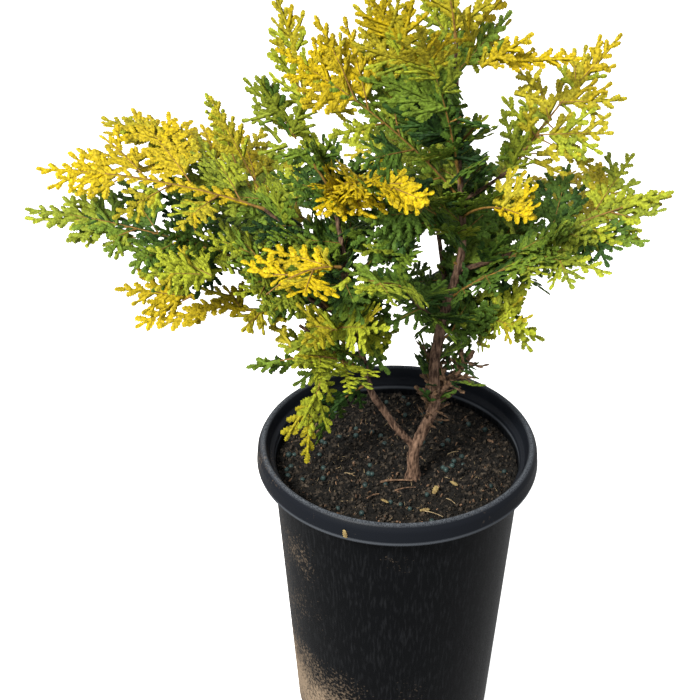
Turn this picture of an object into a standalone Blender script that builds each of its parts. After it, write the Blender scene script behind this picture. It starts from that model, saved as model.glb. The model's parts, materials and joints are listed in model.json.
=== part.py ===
"""A young golden hinoki cypress in a round nursery pot.

The plant forks just above the soil into a main stem and a left stem. Boughs leave both, and flat
fronds of toothed sprays grow from the boughs and from the stems. Each frond is one closed solid.
Lengths are in millimetres here and become metres as each mesh is made. The origin is the middle of
the pot's flat underside, +Y points to the plant's back and +Z up. Azimuths run from +X through +Y.
"""

import math
import random
from collections import namedtuple

import bmesh
import bpy
from mathutils import Matrix, Vector
from mathutils.bvhtree import BVHTree

MM = 0.001
GAP = 0.3
SAME_POINT = 0.01
NEARLY_ALONG = 0.95

# Pot
POT_HEIGHT = 200.0
POT_SIDES = 36
LIP_RADIUS = 82.5
LIP_DEPTH = 13.5
WALL_RADIUS = 73.2
WALL_TAPER = 0.066
WALL = 1.5
FLOOR = 2.5
FOOT_EDGE = 1.5
INNER_TOP_RADIUS = 71.9
INNER_TOP_DROP = 9.8
# The lip and the ledge inside it in section: distance in from LIP_RADIUS, and drop from the rim's top
UNDER_LIP = (
    (8.2, 10.4),
    (6.0, 9.8),
    (4.6, 2.4),
    (3.0, 2.4),
    (1.7, LIP_DEPTH),
    (0.5, LIP_DEPTH),
)
OVER_LIP = (
    (0.0, 12.0),
    (0.7, 4.0),
    (2.2, 1.0),
    (4.0, 0.0),
    (5.7, 1.0),
    (6.7, 4.0),
    (7.5, 8.0),
    (9.7, 8.6),
)
DRAIN_HOLES = 6
DRAIN_RADIUS = 4.0
DRAIN_HEIGHT = 7.0
DRAIN_SIDES = 10
DRAIN_CUT = 40.0
SMOOTH_POT = 35.0

# Soil
SOIL_LEVEL = POT_HEIGHT - 16.0
SOIL_RINGS = 4
SOIL_DIP = 2.2
SOIL_FLAT = 26.0
SOIL_SEED = 5

# Stems: x, y, z and radius where the middle of the stem passes
TRUNK_SIDES = 8
COURSE_STEPS = 2
TRUNK_COURSE = (
    (9.0, -16.0, SOIL_LEVEL + GAP, 4.8),
    (9.0, -16.0, 190.0, 3.6),
    (9.5, -16.0, 205.0, 3.2),
    (20.0, -15.0, 234.0, 3.1),
    (19.0, -14.0, 259.0, 3.1),
    (24.0, -13.0, 295.0, 2.7),
    (32.0, -12.0, 334.0, 2.0),
    (28.0, -12.0, 385.0, 1.4),
    (24.0, -12.0, 450.0, 0.9),
)
FORK_ALONG = 21.0
LEFT_STEM_COURSE = (
    (-2.0, -16.0, 220.0, 2.1),
    (-9.0, -16.0, 232.0, 2.0),
    (-15.0, -16.0, 242.0, 2.0),
    (-19.0, -15.0, 257.0, 1.9),
    (-26.0, -12.0, 297.0, 1.6),
    (-33.0, -10.0, 340.0, 1.3),
    (-40.0, -8.0, 380.0, 1.0),
)

# Boughs: the limb that each leaves, how far along it, length, azimuth, rise, upward bend and radii
Bough = namedtuple("Bough", "name limb along length azimuth rise bend foot tip")
BOUGH_SIDES = 6
BOUGH_STEPS = 4
BOUGHS = (
    Bough("right_low_bough", "trunk", 56, 32, 350, 54, 12, 1.6, 1.1),
    Bough("right_mid_bough", "trunk", 138, 42, 2, 16, 12, 1.5, 1.0),
    Bough("right_high_bough", "trunk", 180, 30, 12, 26, 12, 1.2, 0.9),
    Bough("front_bough", "trunk", 105, 50, 240, 38, 14, 1.6, 1.0),
    Bough("front_left_bough", "left_stem", 104, 48, 262, 38, 14, 1.3, 0.9),
    Bough("back_bough", "trunk", 120, 60, 96, 22, 14, 1.6, 1.0),
    Bough("back_right_bough", "trunk", 132, 50, 48, 8, 10, 1.4, 0.9),
    Bough("left_low_bough", "left_stem", 62, 40, 190, 30, 14, 1.4, 0.9),
    Bough("left_mid_bough", "left_stem", 85, 55, 184, 30, 14, 1.4, 0.9),
    Bough("left_high_bough", "left_stem", 122, 50, 178, 30, 14, 1.2, 0.9),
    Bough("back_left_bough", "left_stem", 78, 60, 122, 24, 14, 1.4, 0.9),
)

# Fronds: the limb, how far along it (TIP is its end), length, width, azimuth, rise at the foot,
# droop from foot to tip, roll about the frond's own axis, and colour
Frond = namedtuple("Frond", "name limb along length width azimuth rise droop roll colour")
TIP = None
FRONDS = (
    Frond("leader", "trunk", TIP, 42, 38, 190, 84, 10, 60, "lime"),
    Frond("top_left_plume", "trunk", 197, 102, 54, 195, 70, 10, 70, "lime"),
    Frond("top_right_plume", "trunk", 224, 62, 44, 16, 84, 10, -65, "lime"),
    Frond("top_front_plume", "trunk", 188, 106, 60, 240, 72, 14, 20, "green"),
    Frond("top_back_plume", "trunk", 204, 88, 54, 100, 66, 12, 20, "green"),
    Frond("upper_left_spire", "left_stem", TIP, 92, 46, 183, 79, 4, 60, "lime"),
    Frond("upper_left_green", "left_stem", 164, 74, 46, 186, 62, 8, 60, "green"),
    Frond("upper_left_gold", "trunk", 180, 120, 90, 192, 54, 14, -50, "gold"),
    Frond("upper_front_gold", "left_stem", 166, 88, 60, 306, 37, 30, -10, "gold"),
    Frond("upper_right_gold", "trunk", 212, 76, 38, 347, 54, 16, 40, "gold"),
    Frond("left_gold_tier", "left_high_bough", TIP, 114, 112, 186, 25, 14, -18, "gold"),
    Frond("left_back_tier", "left_stem", 132, 148, 88, 154, 29, 16, -8, "gold"),
    Frond("left_green_tier", "left_mid_bough", TIP, 126, 82, 182, 27, 12, -14, "deep"),
    Frond("left_centre_tier", "left_mid_bough", 12, 86, 64, 202, 54, 18, -14, "green"),
    Frond("left_low_green", "left_mid_bough", 30, 94, 66, 214, 36, 16, -8, "green"),
    Frond("left_low_gold", "left_low_bough", TIP, 96, 44, 190, 32, 18, -20, "gold"),
    Frond("front_gold_fan", "front_left_bough", TIP, 58, 72, 212, 26, 50, 0, "gold"),
    Frond("front_green_fan", "front_bough", TIP, 58, 56, 236, 52, 36, 0, "green"),
    Frond("lower_left_fan", "left_stem", 54, 76, 84, 222, 46, 26, 0, "lime"),
    Frond("lower_front_fan", "left_stem", 78, 70, 76, 250, 46, 28, 0, "green"),
    Frond("hanging_frond", "left_low_bough", 14, 66, 32, 205, -56, 26, 60, "lime"),
    Frond("dark_droop", "left_stem", 46, 54, 34, 156, -32, 34, 40, "deep"),
    Frond("right_fan", "right_mid_bough", TIP, 68, 86, 358, 34, 14, 18, "lime"),
    Frond("right_low_fan", "right_mid_bough", 20, 62, 56, 318, 26, 16, 10, "green"),
    Frond("right_feather", "right_high_bough", TIP, 80, 62, 19, 58, 12, 45, "lime"),
    Frond("right_yellow_spray", "trunk", 170, 78, 52, 292, 43, 26, 5, "gold"),
    Frond("right_low_lime", "right_low_bough", TIP, 60, 52, 330, 70, 20, 30, "lime"),
    Frond("trunk_brush", "trunk", 64, 36, 30, 165, 62, 10, 20, "deep"),
    Frond("trunk_right_brush", "trunk", 92, 46, 42, 8, 44, 16, 10, "deep"),
    Frond("centre_low_brush", "left_stem", 94, 46, 44, 350, 46, 14, 20, "deep"),
    Frond("centre_left_brush", "left_stem", 114, 60, 52, 322, 42, 14, 10, "deep"),
    Frond("centre_front_fan", "trunk", 142, 66, 58, 216, 35, 14, -10, "green"),
    Frond("centre_high_fan", "trunk", 158, 74, 62, 214, 50, 18, -10, "green"),
    Frond("centre_right_brush", "trunk", 120, 56, 50, 325, 48, 14, 10, "deep"),
    Frond("back_left_tier", "back_left_bough", TIP, 105, 94, 130, 20, 14, 0, "green"),
    Frond("back_tier", "back_bough", TIP, 100, 94, 98, 20, 14, 0, "lime"),
    Frond("back_right_tier", "back_right_bough", TIP, 92, 86, 45, 10, 10, 0, "gold"),
    Frond("back_low_fan", "back_bough", 30, 72, 64, 68, 18, 18, 0, "green"),
    Frond("back_low_spray", "left_stem", 66, 66, 56, 108, 22, 18, 0, "green"),
    Frond("back_high_fan", "trunk", 166, 92, 76, 112, 36, 14, 0, "green"),
)
FROND_SEED = 41

# How a frond branches: its stem, its side twigs, and the toothed sprays on both
STEM_POINTS = 6
STEM_RADIUS = 1.1
STEM_TIP_RADIUS = 0.5
STEM_SHARE = 0.76
TWIG_SIDES = 3
TWIG_RADIUS = 0.8
TWIG_PITCH = 14.0
TWIG_SHARE = 0.6
FIRST_TWIG = 0.14
TWIG_ANGLE_FOOT = 60.0
TWIG_ANGLE_TIP = 38.0
WIDEST = 0.3
FOOT_WIDTH = 0.6
TIP_WIDTH = 0.38
WIDTH_FALL = 1.2
FEWEST_TWIGS = 3
SHORT_REACH = 34.0
REACH_JITTER = 0.08
SPRAY_ROOT = 0.2
SPRAY_WIDTH = 0.58
SPRAY_THICK = 1.2
SPRAY_SINK = 1.5
SPRAY_SAG = 0.12
TIP_SPRAY = 1.3
RIB_FIRST = 0.5
RIB_FIRST_LONE = 0.7
RIB_SPREAD = 0.4
RIB_THINNING = 0.5
ROOT_WIDTH = 0.05
TOOTH_PITCH = 13.0
TOOTH_LEAN = 0.95
TOOTH_STAGGER = 0.3
TOOTH_END = 0.5
NOTCH_AFTER = 0.22
NOTCH_DEPTH = 0.42
SPAN_FROM = 0.24
SPAN_PER_SHARE = 0.62
TILT_JITTER = 14.0
TURN_JITTER = 6.0

# Looks: a colour and a roughness
PLASTIC = ((0.012, 0.013, 0.015), 0.55)
SOIL_BROWN = ((0.022, 0.014, 0.01), 0.95)
BARK = ((0.105, 0.052, 0.03), 0.85)
LEAVES = {
    "gold": ((0.62, 0.46, 0.02), 0.6),
    "lime": ((0.34, 0.42, 0.02), 0.6),
    "green": ((0.07, 0.18, 0.02), 0.6),
    "deep": ((0.02, 0.07, 0.018), 0.6),
}
SMOOTH_BARK = 50.0


def clear_scene():
    for old in list(bpy.data.objects):
        bpy.data.objects.remove(old)


def material(name, look):
    """A plain material with the look's colour and roughness."""
    colour, roughness = look
    made = bpy.data.materials.new(name)
    made.use_nodes = True
    shader = made.node_tree.nodes["Principled BSDF"]
    shader.inputs["Base Color"].default_value = (*colour, 1.0)
    shader.inputs["Roughness"].default_value = roughness
    shader.inputs["Metallic"].default_value = 0.0
    return made


def new_object(name, mesh, collection=None):
    made = bpy.data.objects.new(name, mesh)
    (collection or bpy.context.scene.collection).objects.link(made)
    return made


def mesh_of(name, points, faces):
    """A mesh in metres from points in millimetres, its faces turned outwards."""
    bm = bmesh.new()
    corners = [bm.verts.new(point * MM) for point in points]
    for face in faces:
        bm.faces.new([corners[i] for i in face])
    bmesh.ops.recalc_face_normals(bm, faces=bm.faces)
    mesh = bpy.data.meshes.new(name)
    bm.to_mesh(mesh)
    bm.free()
    return mesh


def turned(name, profile, sides):
    """A closed turned mesh. The profile, in millimetres, starts and ends on the axis."""
    bm = bmesh.new()
    corners = [bm.verts.new((r * MM, 0, z * MM)) for r, z in profile]
    edges = [bm.edges.new(pair) for pair in zip(corners, corners[1:])]
    bmesh.ops.spin(
        bm,
        geom=corners + edges,
        cent=(0, 0, 0),
        axis=(0, 0, 1),
        angle=math.tau,
        steps=sides,
        use_merge=True,
    )
    bmesh.ops.remove_doubles(bm, verts=bm.verts, dist=SAME_POINT * MM)
    bmesh.ops.recalc_face_normals(bm, faces=bm.faces)
    mesh = bpy.data.meshes.new(name)
    bm.to_mesh(mesh)
    bm.free()
    return mesh


def wall_radius(drop):
    """The wall's outer radius at a drop below the rim's top."""
    return WALL_RADIUS - WALL_TAPER * (drop - LIP_DEPTH)


def inner_radius(drop):
    """The wall's inner radius below the ledge, at a drop below the rim's top."""
    foot_drop = POT_HEIGHT - FLOOR
    foot = wall_radius(foot_drop) - WALL
    share = (drop - INNER_TOP_DROP) / (foot_drop - INNER_TOP_DROP)
    return INNER_TOP_RADIUS + (foot - INNER_TOP_RADIUS) * share


def pot_profile():
    """The wall with its rolled lip, a channel open downwards behind the lip, and a ledge inside it."""
    foot = wall_radius(POT_HEIGHT)
    section = [
        (0, POT_HEIGHT),
        (foot - FOOT_EDGE, POT_HEIGHT),
        (foot, POT_HEIGHT - FOOT_EDGE),
        (wall_radius(LIP_DEPTH), LIP_DEPTH),
        *[(LIP_RADIUS - inward, drop) for inward, drop in UNDER_LIP + OVER_LIP],
        (INNER_TOP_RADIUS, INNER_TOP_DROP),
        (inner_radius(POT_HEIGHT - FLOOR), POT_HEIGHT - FLOOR),
        (0, POT_HEIGHT - FLOOR),
    ]
    return [(r, POT_HEIGHT - drop) for r, drop in section]


def make_pot():
    """The turned pot with its drain holes cut through the wall just above the floor."""
    pot = new_object("pot", turned("pot", pot_profile(), POT_SIDES))
    out = wall_radius(POT_HEIGHT) * MM
    for index in range(DRAIN_HOLES):
        turn = math.tau * (index + 0.5) / DRAIN_HOLES
        bpy.ops.mesh.primitive_cylinder_add(
            vertices=DRAIN_SIDES,
            radius=DRAIN_RADIUS * MM,
            depth=DRAIN_CUT * MM,
            location=(out * math.cos(turn), out * math.sin(turn), DRAIN_HEIGHT * MM),
            rotation=(0, math.pi / 2, turn),
        )
        cutter = bpy.context.object
        cutter.name = f"drain_cutter_{index + 1}"
        cutter.hide_render = True
        cutter.display_type = "WIRE"
        cut = pot.modifiers.new(f"drain {index + 1}", "BOOLEAN")
        cut.object = cutter
    pot.data.materials.append(material("pot", PLASTIC))
    pot.data.shade_smooth()
    pot.data.set_sharp_from_angle(angle=math.radians(SMOOTH_POT))
    return pot


def make_soil():
    """The soil that fills the pot, dipping here and there and level round the foot of the plant."""
    rim = inner_radius(POT_HEIGHT - SOIL_LEVEL) - GAP
    floor = FLOOR + GAP
    profile = [(0, floor), (inner_radius(POT_HEIGHT - floor) - GAP, floor)]
    profile += [(rim * (SOIL_RINGS - i) / SOIL_RINGS, SOIL_LEVEL) for i in range(SOIL_RINGS + 1)]
    mesh = turned("soil", profile, POT_SIDES)
    rng = random.Random(SOIL_SEED)
    centre = Vector(TRUNK_COURSE[0][:2])
    for corner in mesh.vertices:
        away = (Vector(corner.co[:2]) / MM - centre).length
        dip = rng.random() * SOIL_DIP
        if corner.co.z > (SOIL_LEVEL - 1) * MM and away > SOIL_FLAT:
            corner.co.z -= dip * MM
    mesh.materials.append(material("soil", SOIL_BROWN))
    mesh.shade_smooth()
    return new_object("soil", mesh)


def heading(azimuth, rise):
    turn, lift = math.radians(azimuth), math.radians(rise)
    return Vector((math.cos(turn) * math.cos(lift), math.sin(turn) * math.cos(lift), math.sin(lift)))


def smooth_course(rows, steps):
    """Points of a smooth curve through the rows, each a point with a radius after it."""
    rows = [Vector(row) for row in rows]
    ends = [rows[0] * 2 - rows[1], *rows, rows[-1] * 2 - rows[-2]]
    course = []
    for a, b, c, d in zip(ends, ends[1:], ends[2:], ends[3:]):
        for step in range(steps):
            t = step / steps
            cubic = (b * 3 - a - c * 3 + d) * t * t * t
            course.append((b * 2 + (c - a) * t + (a * 2 - b * 5 + c * 4 - d) * t * t + cubic) / 2)
    return [*course, rows[-1]]


def tube(points, radii, sides):
    """(points, faces) of a closed tube with flat ends square to its course."""
    around = Vector((0, 1, 0))
    corners, faces = [], []
    last = len(points) - 1
    for i, (point, radius) in enumerate(zip(points, radii)):
        along = (points[min(i + 1, last)] - points[max(i - 1, 0)]).normalized()
        if abs(along.dot(around)) > NEARLY_ALONG:
            around = Vector((0, 0, 1))
        around = (around - along * around.dot(along)).normalized()
        side = along.cross(around)
        for k in range(sides):
            turn = math.tau * k / sides
            corners.append(point + (around * math.cos(turn) + side * math.sin(turn)) * radius)
    for i in range(last):
        for k in range(sides):
            a, b = i * sides + k, i * sides + (k + 1) % sides
            faces.append((a, b, b + sides, a + sides))
    faces.append(tuple(range(sides)))
    faces.append(tuple(last * sides + k for k in range(sides)))
    return corners, faces


class Limb:
    """A tapering limb along a smooth course."""

    def __init__(self, name, course, sides):
        self.name = name
        self.sides = sides
        self.points = [Vector(row[:3]) for row in course]
        self.radii = [row[3] for row in course]

    def at(self, along):
        """(point, direction, radius) at a distance along the limb, or at its end."""
        left = math.inf if along is TIP else along
        for a, b, first, second in zip(self.points, self.points[1:], self.radii, self.radii[1:]):
            step = (b - a).length
            if left <= step:
                share = left / step
                return a.lerp(b, share), (b - a).normalized(), first + (second - first) * share
            left -= step
        return self.points[-1], (self.points[-1] - self.points[-2]).normalized(), self.radii[-1]

    def start_of(self, along, ahead, radius):
        """Where a limb of this radius, heading ahead, starts so that its foot is clear by GAP."""
        point, forward, own = self.at(along)
        cosine = abs(forward.dot(ahead))
        sine = math.sqrt(max(0.0, 1 - cosine * cosine))
        if along is TIP:
            return point + ahead * (GAP + own * sine)
        return point + ahead * (own + GAP + radius * cosine) / sine

    def solid(self):
        return tube(self.points, self.radii, self.sides)


def grow_limbs():
    """The trunk, the left stem and the boughs, by name."""
    trunk = Limb("trunk", smooth_course(TRUNK_COURSE, COURSE_STEPS), TRUNK_SIDES)
    fork, _, _ = trunk.at(FORK_ALONG)
    first = LEFT_STEM_COURSE[0]
    start = trunk.start_of(FORK_ALONG, (Vector(first[:3]) - fork).normalized(), first[3])
    course = [(*start, first[3]), *LEFT_STEM_COURSE]
    limbs = {"trunk": trunk}
    limbs["left_stem"] = Limb("left_stem", smooth_course(course, COURSE_STEPS), TRUNK_SIDES)
    for bough in BOUGHS:
        parent = limbs[bough.limb]
        point = parent.start_of(bough.along, heading(bough.azimuth, bough.rise), bough.foot)
        course = [(*point, bough.foot)]
        for step in range(1, BOUGH_STEPS + 1):
            share = step / BOUGH_STEPS
            rise = bough.rise + bough.bend * (share - 0.5 / BOUGH_STEPS)
            point = point + heading(bough.azimuth, rise) * bough.length / BOUGH_STEPS
            course.append((*point, bough.foot + (bough.tip - bough.foot) * share))
        limbs[bough.name] = Limb(bough.name, course, BOUGH_SIDES)
    return limbs


def spray_outline(teeth):
    """(along, across) round a spray with this many teeth a side, as shares of its length and width."""
    edges = {}
    for hand, shift in ((1, 0.0), (-1, -TOOTH_STAGGER)):
        edge = [(0.0, ROOT_WIDTH * hand)]
        for tooth in range(teeth):
            tip = (tooth + TOOTH_LEAN + shift) / (teeth + TOOTH_END)
            notch = tip + NOTCH_AFTER / (teeth + TOOTH_END)
            span = math.sin(math.pi * (SPAN_FROM + SPAN_PER_SHARE * tip)) / 2
            edge.append((tip, span * hand))
            edge.append((notch, span * NOTCH_DEPTH * hand))
        edges[hand] = edge
    return [*edges[1], (1.0, 0.0), *reversed(edges[-1])]


def spray(root, ahead, normal, length, width, swell=0.0):
    """(points, faces) of one toothed spray, thickest along its midrib and sharp at its edge."""
    side = normal.cross(ahead)
    teeth = max(2, round(length / TOOTH_PITCH))
    outline = spray_outline(teeth)
    ribs = teeth - 1

    def place(along, across, lift):
        sag = SPRAY_SAG * length * along * along
        return root + ahead * (along * (length + swell)) + side * across + normal * (lift - sag)

    points = [place(a, b * width + math.copysign(swell, b) * (b != 0), 0.0) for a, b in outline]
    rim = len(points)
    first_rib = RIB_FIRST_LONE if ribs == 1 else RIB_FIRST
    for hand in (1, -1):
        for rib in range(ribs):
            lift = hand * (SPRAY_THICK / 2 * (1 - RIB_THINNING * rib / ribs) + swell)
            points.append(place((rib + first_rib) / (ribs + RIB_SPREAD), 0.0, lift))
    faces = []
    for i in range(rim):
        after = (i + 1) % rim
        ours, theirs = (min(ribs - 1, int(outline[k][0] * ribs)) for k in (i, after))
        faces.append((i, after, rim + theirs))
        faces.append((after, i, rim + ribs + theirs))
        if ours != theirs:
            faces.append((i, rim + theirs, rim + ours))
            faces.append((i, rim + ribs + ours, rim + ribs + theirs))
    return points, faces


def spike(root, tip, radius):
    """(points, faces) of a three-sided twig that runs out to a point."""
    ahead = (tip - root).normalized()
    side = ahead.orthogonal().normalized()
    points = [tip]
    for k in range(TWIG_SIDES):
        points.append(root + Matrix.Rotation(math.tau * k / TWIG_SIDES, 3, ahead) @ side * radius)
    faces = [(0, 1 + k, 1 + (k + 1) % TWIG_SIDES) for k in range(TWIG_SIDES)]
    return points, [*faces, tuple(range(1, TWIG_SIDES + 1))]


class Space:
    """What already has its place. A piece may only touch pieces of its own frond."""

    def __init__(self):
        self.taken = []

    def add(self, owner, solid):
        points, faces = solid
        centre = sum(points, Vector()) / len(points)
        reach = max((point - centre).length for point in points)
        self.taken.append((owner, centre, reach, BVHTree.FromPolygons(points, faces)))

    def free(self, owner, solid):
        points, faces = solid
        centre = sum(points, Vector()) / len(points)
        reach = max((point - centre).length for point in points)
        tree = BVHTree.FromPolygons(points, faces)
        return not any(
            other != owner and (middle - centre).length < reach + size and tree.overlap(there)
            for other, middle, size, there in self.taken
        )


class Growth:
    """One frond as it grows: its stem, then its twigs, then its sprays."""

    def __init__(self, frond, limbs, seed):
        self.frond = frond
        self.rng = random.Random(seed)
        self.pieces = []
        self.twigs = []
        ahead = heading(frond.azimuth, frond.rise)
        self.side = Matrix.Rotation(math.radians(frond.roll), 3, ahead) @ self.bend_axis(ahead)
        point = limbs[frond.limb].start_of(frond.along, ahead, STEM_RADIUS)
        self.line = [point]
        self.aheads = [ahead]
        for step in range(STEM_POINTS - 1):
            bend = frond.droop / (STEM_POINTS - 1)
            ahead = Matrix.Rotation(math.radians(bend), 3, self.bend_axis(ahead)) @ ahead
            point = point + ahead * frond.length * STEM_SHARE / (STEM_POINTS - 1)
            self.line.append(point)
            self.aheads.append(ahead)

    @staticmethod
    def bend_axis(ahead):
        """The level axis about which a positive turn lowers the tip."""
        return Vector((-ahead.y, ahead.x, 0)).normalized()

    def at(self, share):
        """(point, direction, normal) at a share of the stem."""
        place = share * (len(self.line) - 1)
        i = min(int(place), len(self.line) - 2)
        ahead = self.aheads[i].lerp(self.aheads[i + 1], place - i).normalized()
        side = (self.side - ahead * self.side.dot(ahead)).normalized()
        return self.line[i].lerp(self.line[i + 1], place - i), ahead, ahead.cross(side)

    def half_width(self, share):
        """How far the frond reaches to each side of its stem at a share of the stem."""
        if share < WIDEST:
            return self.frond.width / 2 * (FOOT_WIDTH + (1 - FOOT_WIDTH) * share / WIDEST)
        fall = ((share - WIDEST) / (1 - WIDEST)) ** WIDTH_FALL
        return self.frond.width / 2 * (1 - (1 - TIP_WIDTH) * fall)

    def place(self, space, solid, swollen):
        """Adds a piece unless it would touch a limb or another frond."""
        if not space.free(self.frond.name, swollen):
            return False
        self.pieces.append(solid)
        space.add(self.frond.name, solid)
        return True

    def grow_stem(self, space):
        last = STEM_POINTS - 1
        radii = [STEM_RADIUS + (STEM_TIP_RADIUS - STEM_RADIUS) * i / last for i in range(STEM_POINTS)]
        solid = tube(self.line, radii, TWIG_SIDES)
        if not self.place(space, solid, solid):
            raise ValueError(f"the stem of {self.frond.name} touches something")

    def grow_twigs(self, space):
        stem = STEM_SHARE * self.frond.length
        count = max(FEWEST_TWIGS, round(stem * (1 - FIRST_TWIG) / TWIG_PITCH) + 1)
        first_hand = self.rng.choice((-1, 1))
        for index in range(count):
            share = FIRST_TWIG + (1 - FIRST_TWIG) * index / count
            hand = first_hand * (-1) ** index
            point, ahead, normal = self.at(share)
            angle = TWIG_ANGLE_FOOT + (TWIG_ANGLE_TIP - TWIG_ANGLE_FOOT) * share
            angle += self.rng.uniform(-TURN_JITTER, TURN_JITTER)
            tilt = self.rng.uniform(-TILT_JITTER, TILT_JITTER)
            reach = self.half_width(share) / math.sin(math.radians(angle))
            reach *= self.rng.uniform(1 - REACH_JITTER, 1 + REACH_JITTER)
            out = Matrix.Rotation(math.radians(hand * angle), 3, normal) @ ahead
            out = (Matrix.Rotation(math.radians(tilt), 3, ahead) @ out).normalized()
            self.grow_twig(space, point, out, normal, reach)

    def grow_twig(self, space, point, out, normal, reach):
        """A side twig that runs under its spray. A short spray needs none."""
        root = 0.0
        if reach > SHORT_REACH:
            tip = point + out * TWIG_SHARE * reach
            swollen = spike(point, tip, TWIG_RADIUS + GAP)
            if not self.place(space, spike(point, tip, TWIG_RADIUS), swollen):
                return
            root = SPRAY_ROOT * reach
        self.twigs.append((point, out, normal, root, reach))

    def grow_spray(self, space, root, ahead, normal, length):
        tilt = Matrix.Rotation(math.radians(self.rng.uniform(-TILT_JITTER, TILT_JITTER)), 3, ahead)
        normal = tilt @ (normal - ahead * normal.dot(ahead)).normalized()
        shape = (root, ahead, normal, length, length * SPRAY_WIDTH)
        self.place(space, spray(*shape), spray(*shape, GAP))

    def grow_sprays(self, space):
        tip, ahead, normal = self.at(1.0)
        rest = (1 - STEM_SHARE) * self.frond.length
        root = tip - ahead * (TIP_SPRAY - 1) * rest
        self.grow_spray(space, root, ahead, normal, TIP_SPRAY * rest)
        for point, out, normal, root, reach in self.twigs:
            start = point + out * (root - SPRAY_SINK)
            self.grow_spray(space, start, out, normal, reach - root + SPRAY_SINK)


def islands(bm):
    """The mesh's separate shells, each a list of faces."""
    left = set(bm.faces)
    found = []
    while left:
        first = left.pop()
        shell, edge = [first], [first]
        while edge:
            for side in edge.pop().edges:
                for face in side.link_faces:
                    if face in left:
                        left.remove(face)
                        shell.append(face)
                        edge.append(face)
        found.append(shell)
    return found


def shell_volume(shell):
    total = 0.0
    for face in shell:
        first, *rest = [corner.co for corner in face.verts]
        total += sum(first.dot(b.cross(c)) for b, c in zip(rest, rest[1:]))
    return total


def keep_main_shell(mesh):
    """Leaves the largest shell, so that loose scraps go and sealed hollows are filled."""
    bm = bmesh.new()
    bm.from_mesh(mesh)
    bmesh.ops.triangulate(bm, faces=bm.faces)
    shells = sorted(islands(bm), key=shell_volume)
    spare = [face for shell in shells[:-1] for face in shell]
    bmesh.ops.delete(bm, geom=spare, context="FACES")
    bm.to_mesh(mesh)
    bm.free()


def join(name, pieces, look):
    """One solid from overlapping pieces."""
    group = bpy.data.collections.new(f"{name}_pieces")
    bpy.context.scene.collection.children.link(group)
    first, *rest = [mesh_of(f"{name}_{i}", *piece) for i, piece in enumerate(pieces)]
    made = new_object(name, first)
    for mesh in rest:
        new_object(mesh.name, mesh, group)
    union = made.modifiers.new("join", "BOOLEAN")
    union.operation = "UNION"
    union.operand_type = "COLLECTION"
    union.collection = group
    joined = made.evaluated_get(bpy.context.evaluated_depsgraph_get())
    whole = bpy.data.meshes.new_from_object(joined)
    whole.name = name
    made.modifiers.clear()
    made.data = whole
    for piece in list(group.objects):
        bpy.data.objects.remove(piece)
    bpy.data.collections.remove(group)
    keep_main_shell(whole)
    whole.materials.clear()
    whole.materials.append(material(name, look))


def solid_in_mm(made):
    """(points, faces) of an object as it stands, in millimetres."""
    shape = made.evaluated_get(bpy.context.evaluated_depsgraph_get()).to_mesh()
    points = [corner.co / MM for corner in shape.vertices]
    faces = [tuple(face.vertices) for face in shape.polygons]
    return points, faces


def make_plant(pot, soil):
    """The limbs, then every stem, twig and spray in turn, so that each finds its place kept."""
    limbs = grow_limbs()
    space = Space()
    for made in (pot, soil):
        space.add(made.name, solid_in_mm(made))
    for limb in limbs.values():
        mesh = mesh_of(limb.name, *limb.solid())
        mesh.materials.append(material(limb.name, BARK))
        mesh.shade_smooth()
        mesh.set_sharp_from_angle(angle=math.radians(SMOOTH_BARK))
        new_object(limb.name, mesh)
        space.add(limb.name, limb.solid())
    growths = [Growth(frond, limbs, FROND_SEED + i) for i, frond in enumerate(FRONDS)]
    for growth in growths:
        growth.grow_stem(space)
    for growth in growths:
        growth.grow_twigs(space)
    for growth in growths:
        growth.grow_sprays(space)
    for growth in growths:
        join(growth.frond.name, growth.pieces, LEAVES[growth.frond.colour])


def main():
    clear_scene()
    pot = make_pot()
    soil = make_soil()
    make_plant(pot, soil)


main()
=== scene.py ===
"""A young golden hinoki cypress in a round nursery pot, dressed over its solids.

The limbs and fronds grow by the rule of the part's source, from the same tables and seeds, and each
frond's toothed blades are carried on here to leafy twigs and branchlets. Courses and tables are in
millimetres, and become metres as each mesh is made. +Y is away from the side photographed, +Z up.
"""

import json
import math
import random
from collections import defaultdict, namedtuple
from itertools import takewhile

import bmesh
import bpy
from mathutils import Matrix, Vector, noise

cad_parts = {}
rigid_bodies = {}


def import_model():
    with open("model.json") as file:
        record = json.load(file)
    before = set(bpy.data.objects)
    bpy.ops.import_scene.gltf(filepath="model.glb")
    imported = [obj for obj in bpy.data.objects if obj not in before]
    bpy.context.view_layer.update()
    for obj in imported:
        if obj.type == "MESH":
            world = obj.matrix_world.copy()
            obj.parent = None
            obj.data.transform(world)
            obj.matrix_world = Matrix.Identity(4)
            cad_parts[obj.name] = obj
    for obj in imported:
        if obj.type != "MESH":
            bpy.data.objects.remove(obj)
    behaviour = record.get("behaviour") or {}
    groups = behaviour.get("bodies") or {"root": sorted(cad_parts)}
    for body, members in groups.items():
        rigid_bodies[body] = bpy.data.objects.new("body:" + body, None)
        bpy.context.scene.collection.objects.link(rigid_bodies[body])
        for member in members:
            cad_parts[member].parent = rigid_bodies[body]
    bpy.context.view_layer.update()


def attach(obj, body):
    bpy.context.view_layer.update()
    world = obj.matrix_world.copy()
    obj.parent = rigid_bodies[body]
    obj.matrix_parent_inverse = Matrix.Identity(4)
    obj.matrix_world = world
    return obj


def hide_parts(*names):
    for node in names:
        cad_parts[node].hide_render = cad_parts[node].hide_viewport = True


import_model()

MM = 0.001
GAP = 0.3
# What each point of a line carries, and the kind of each
LINE_VALUES = {"thick": "FLOAT", "reach": "FLOAT", "lie": "FLOAT_VECTOR"}
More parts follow.
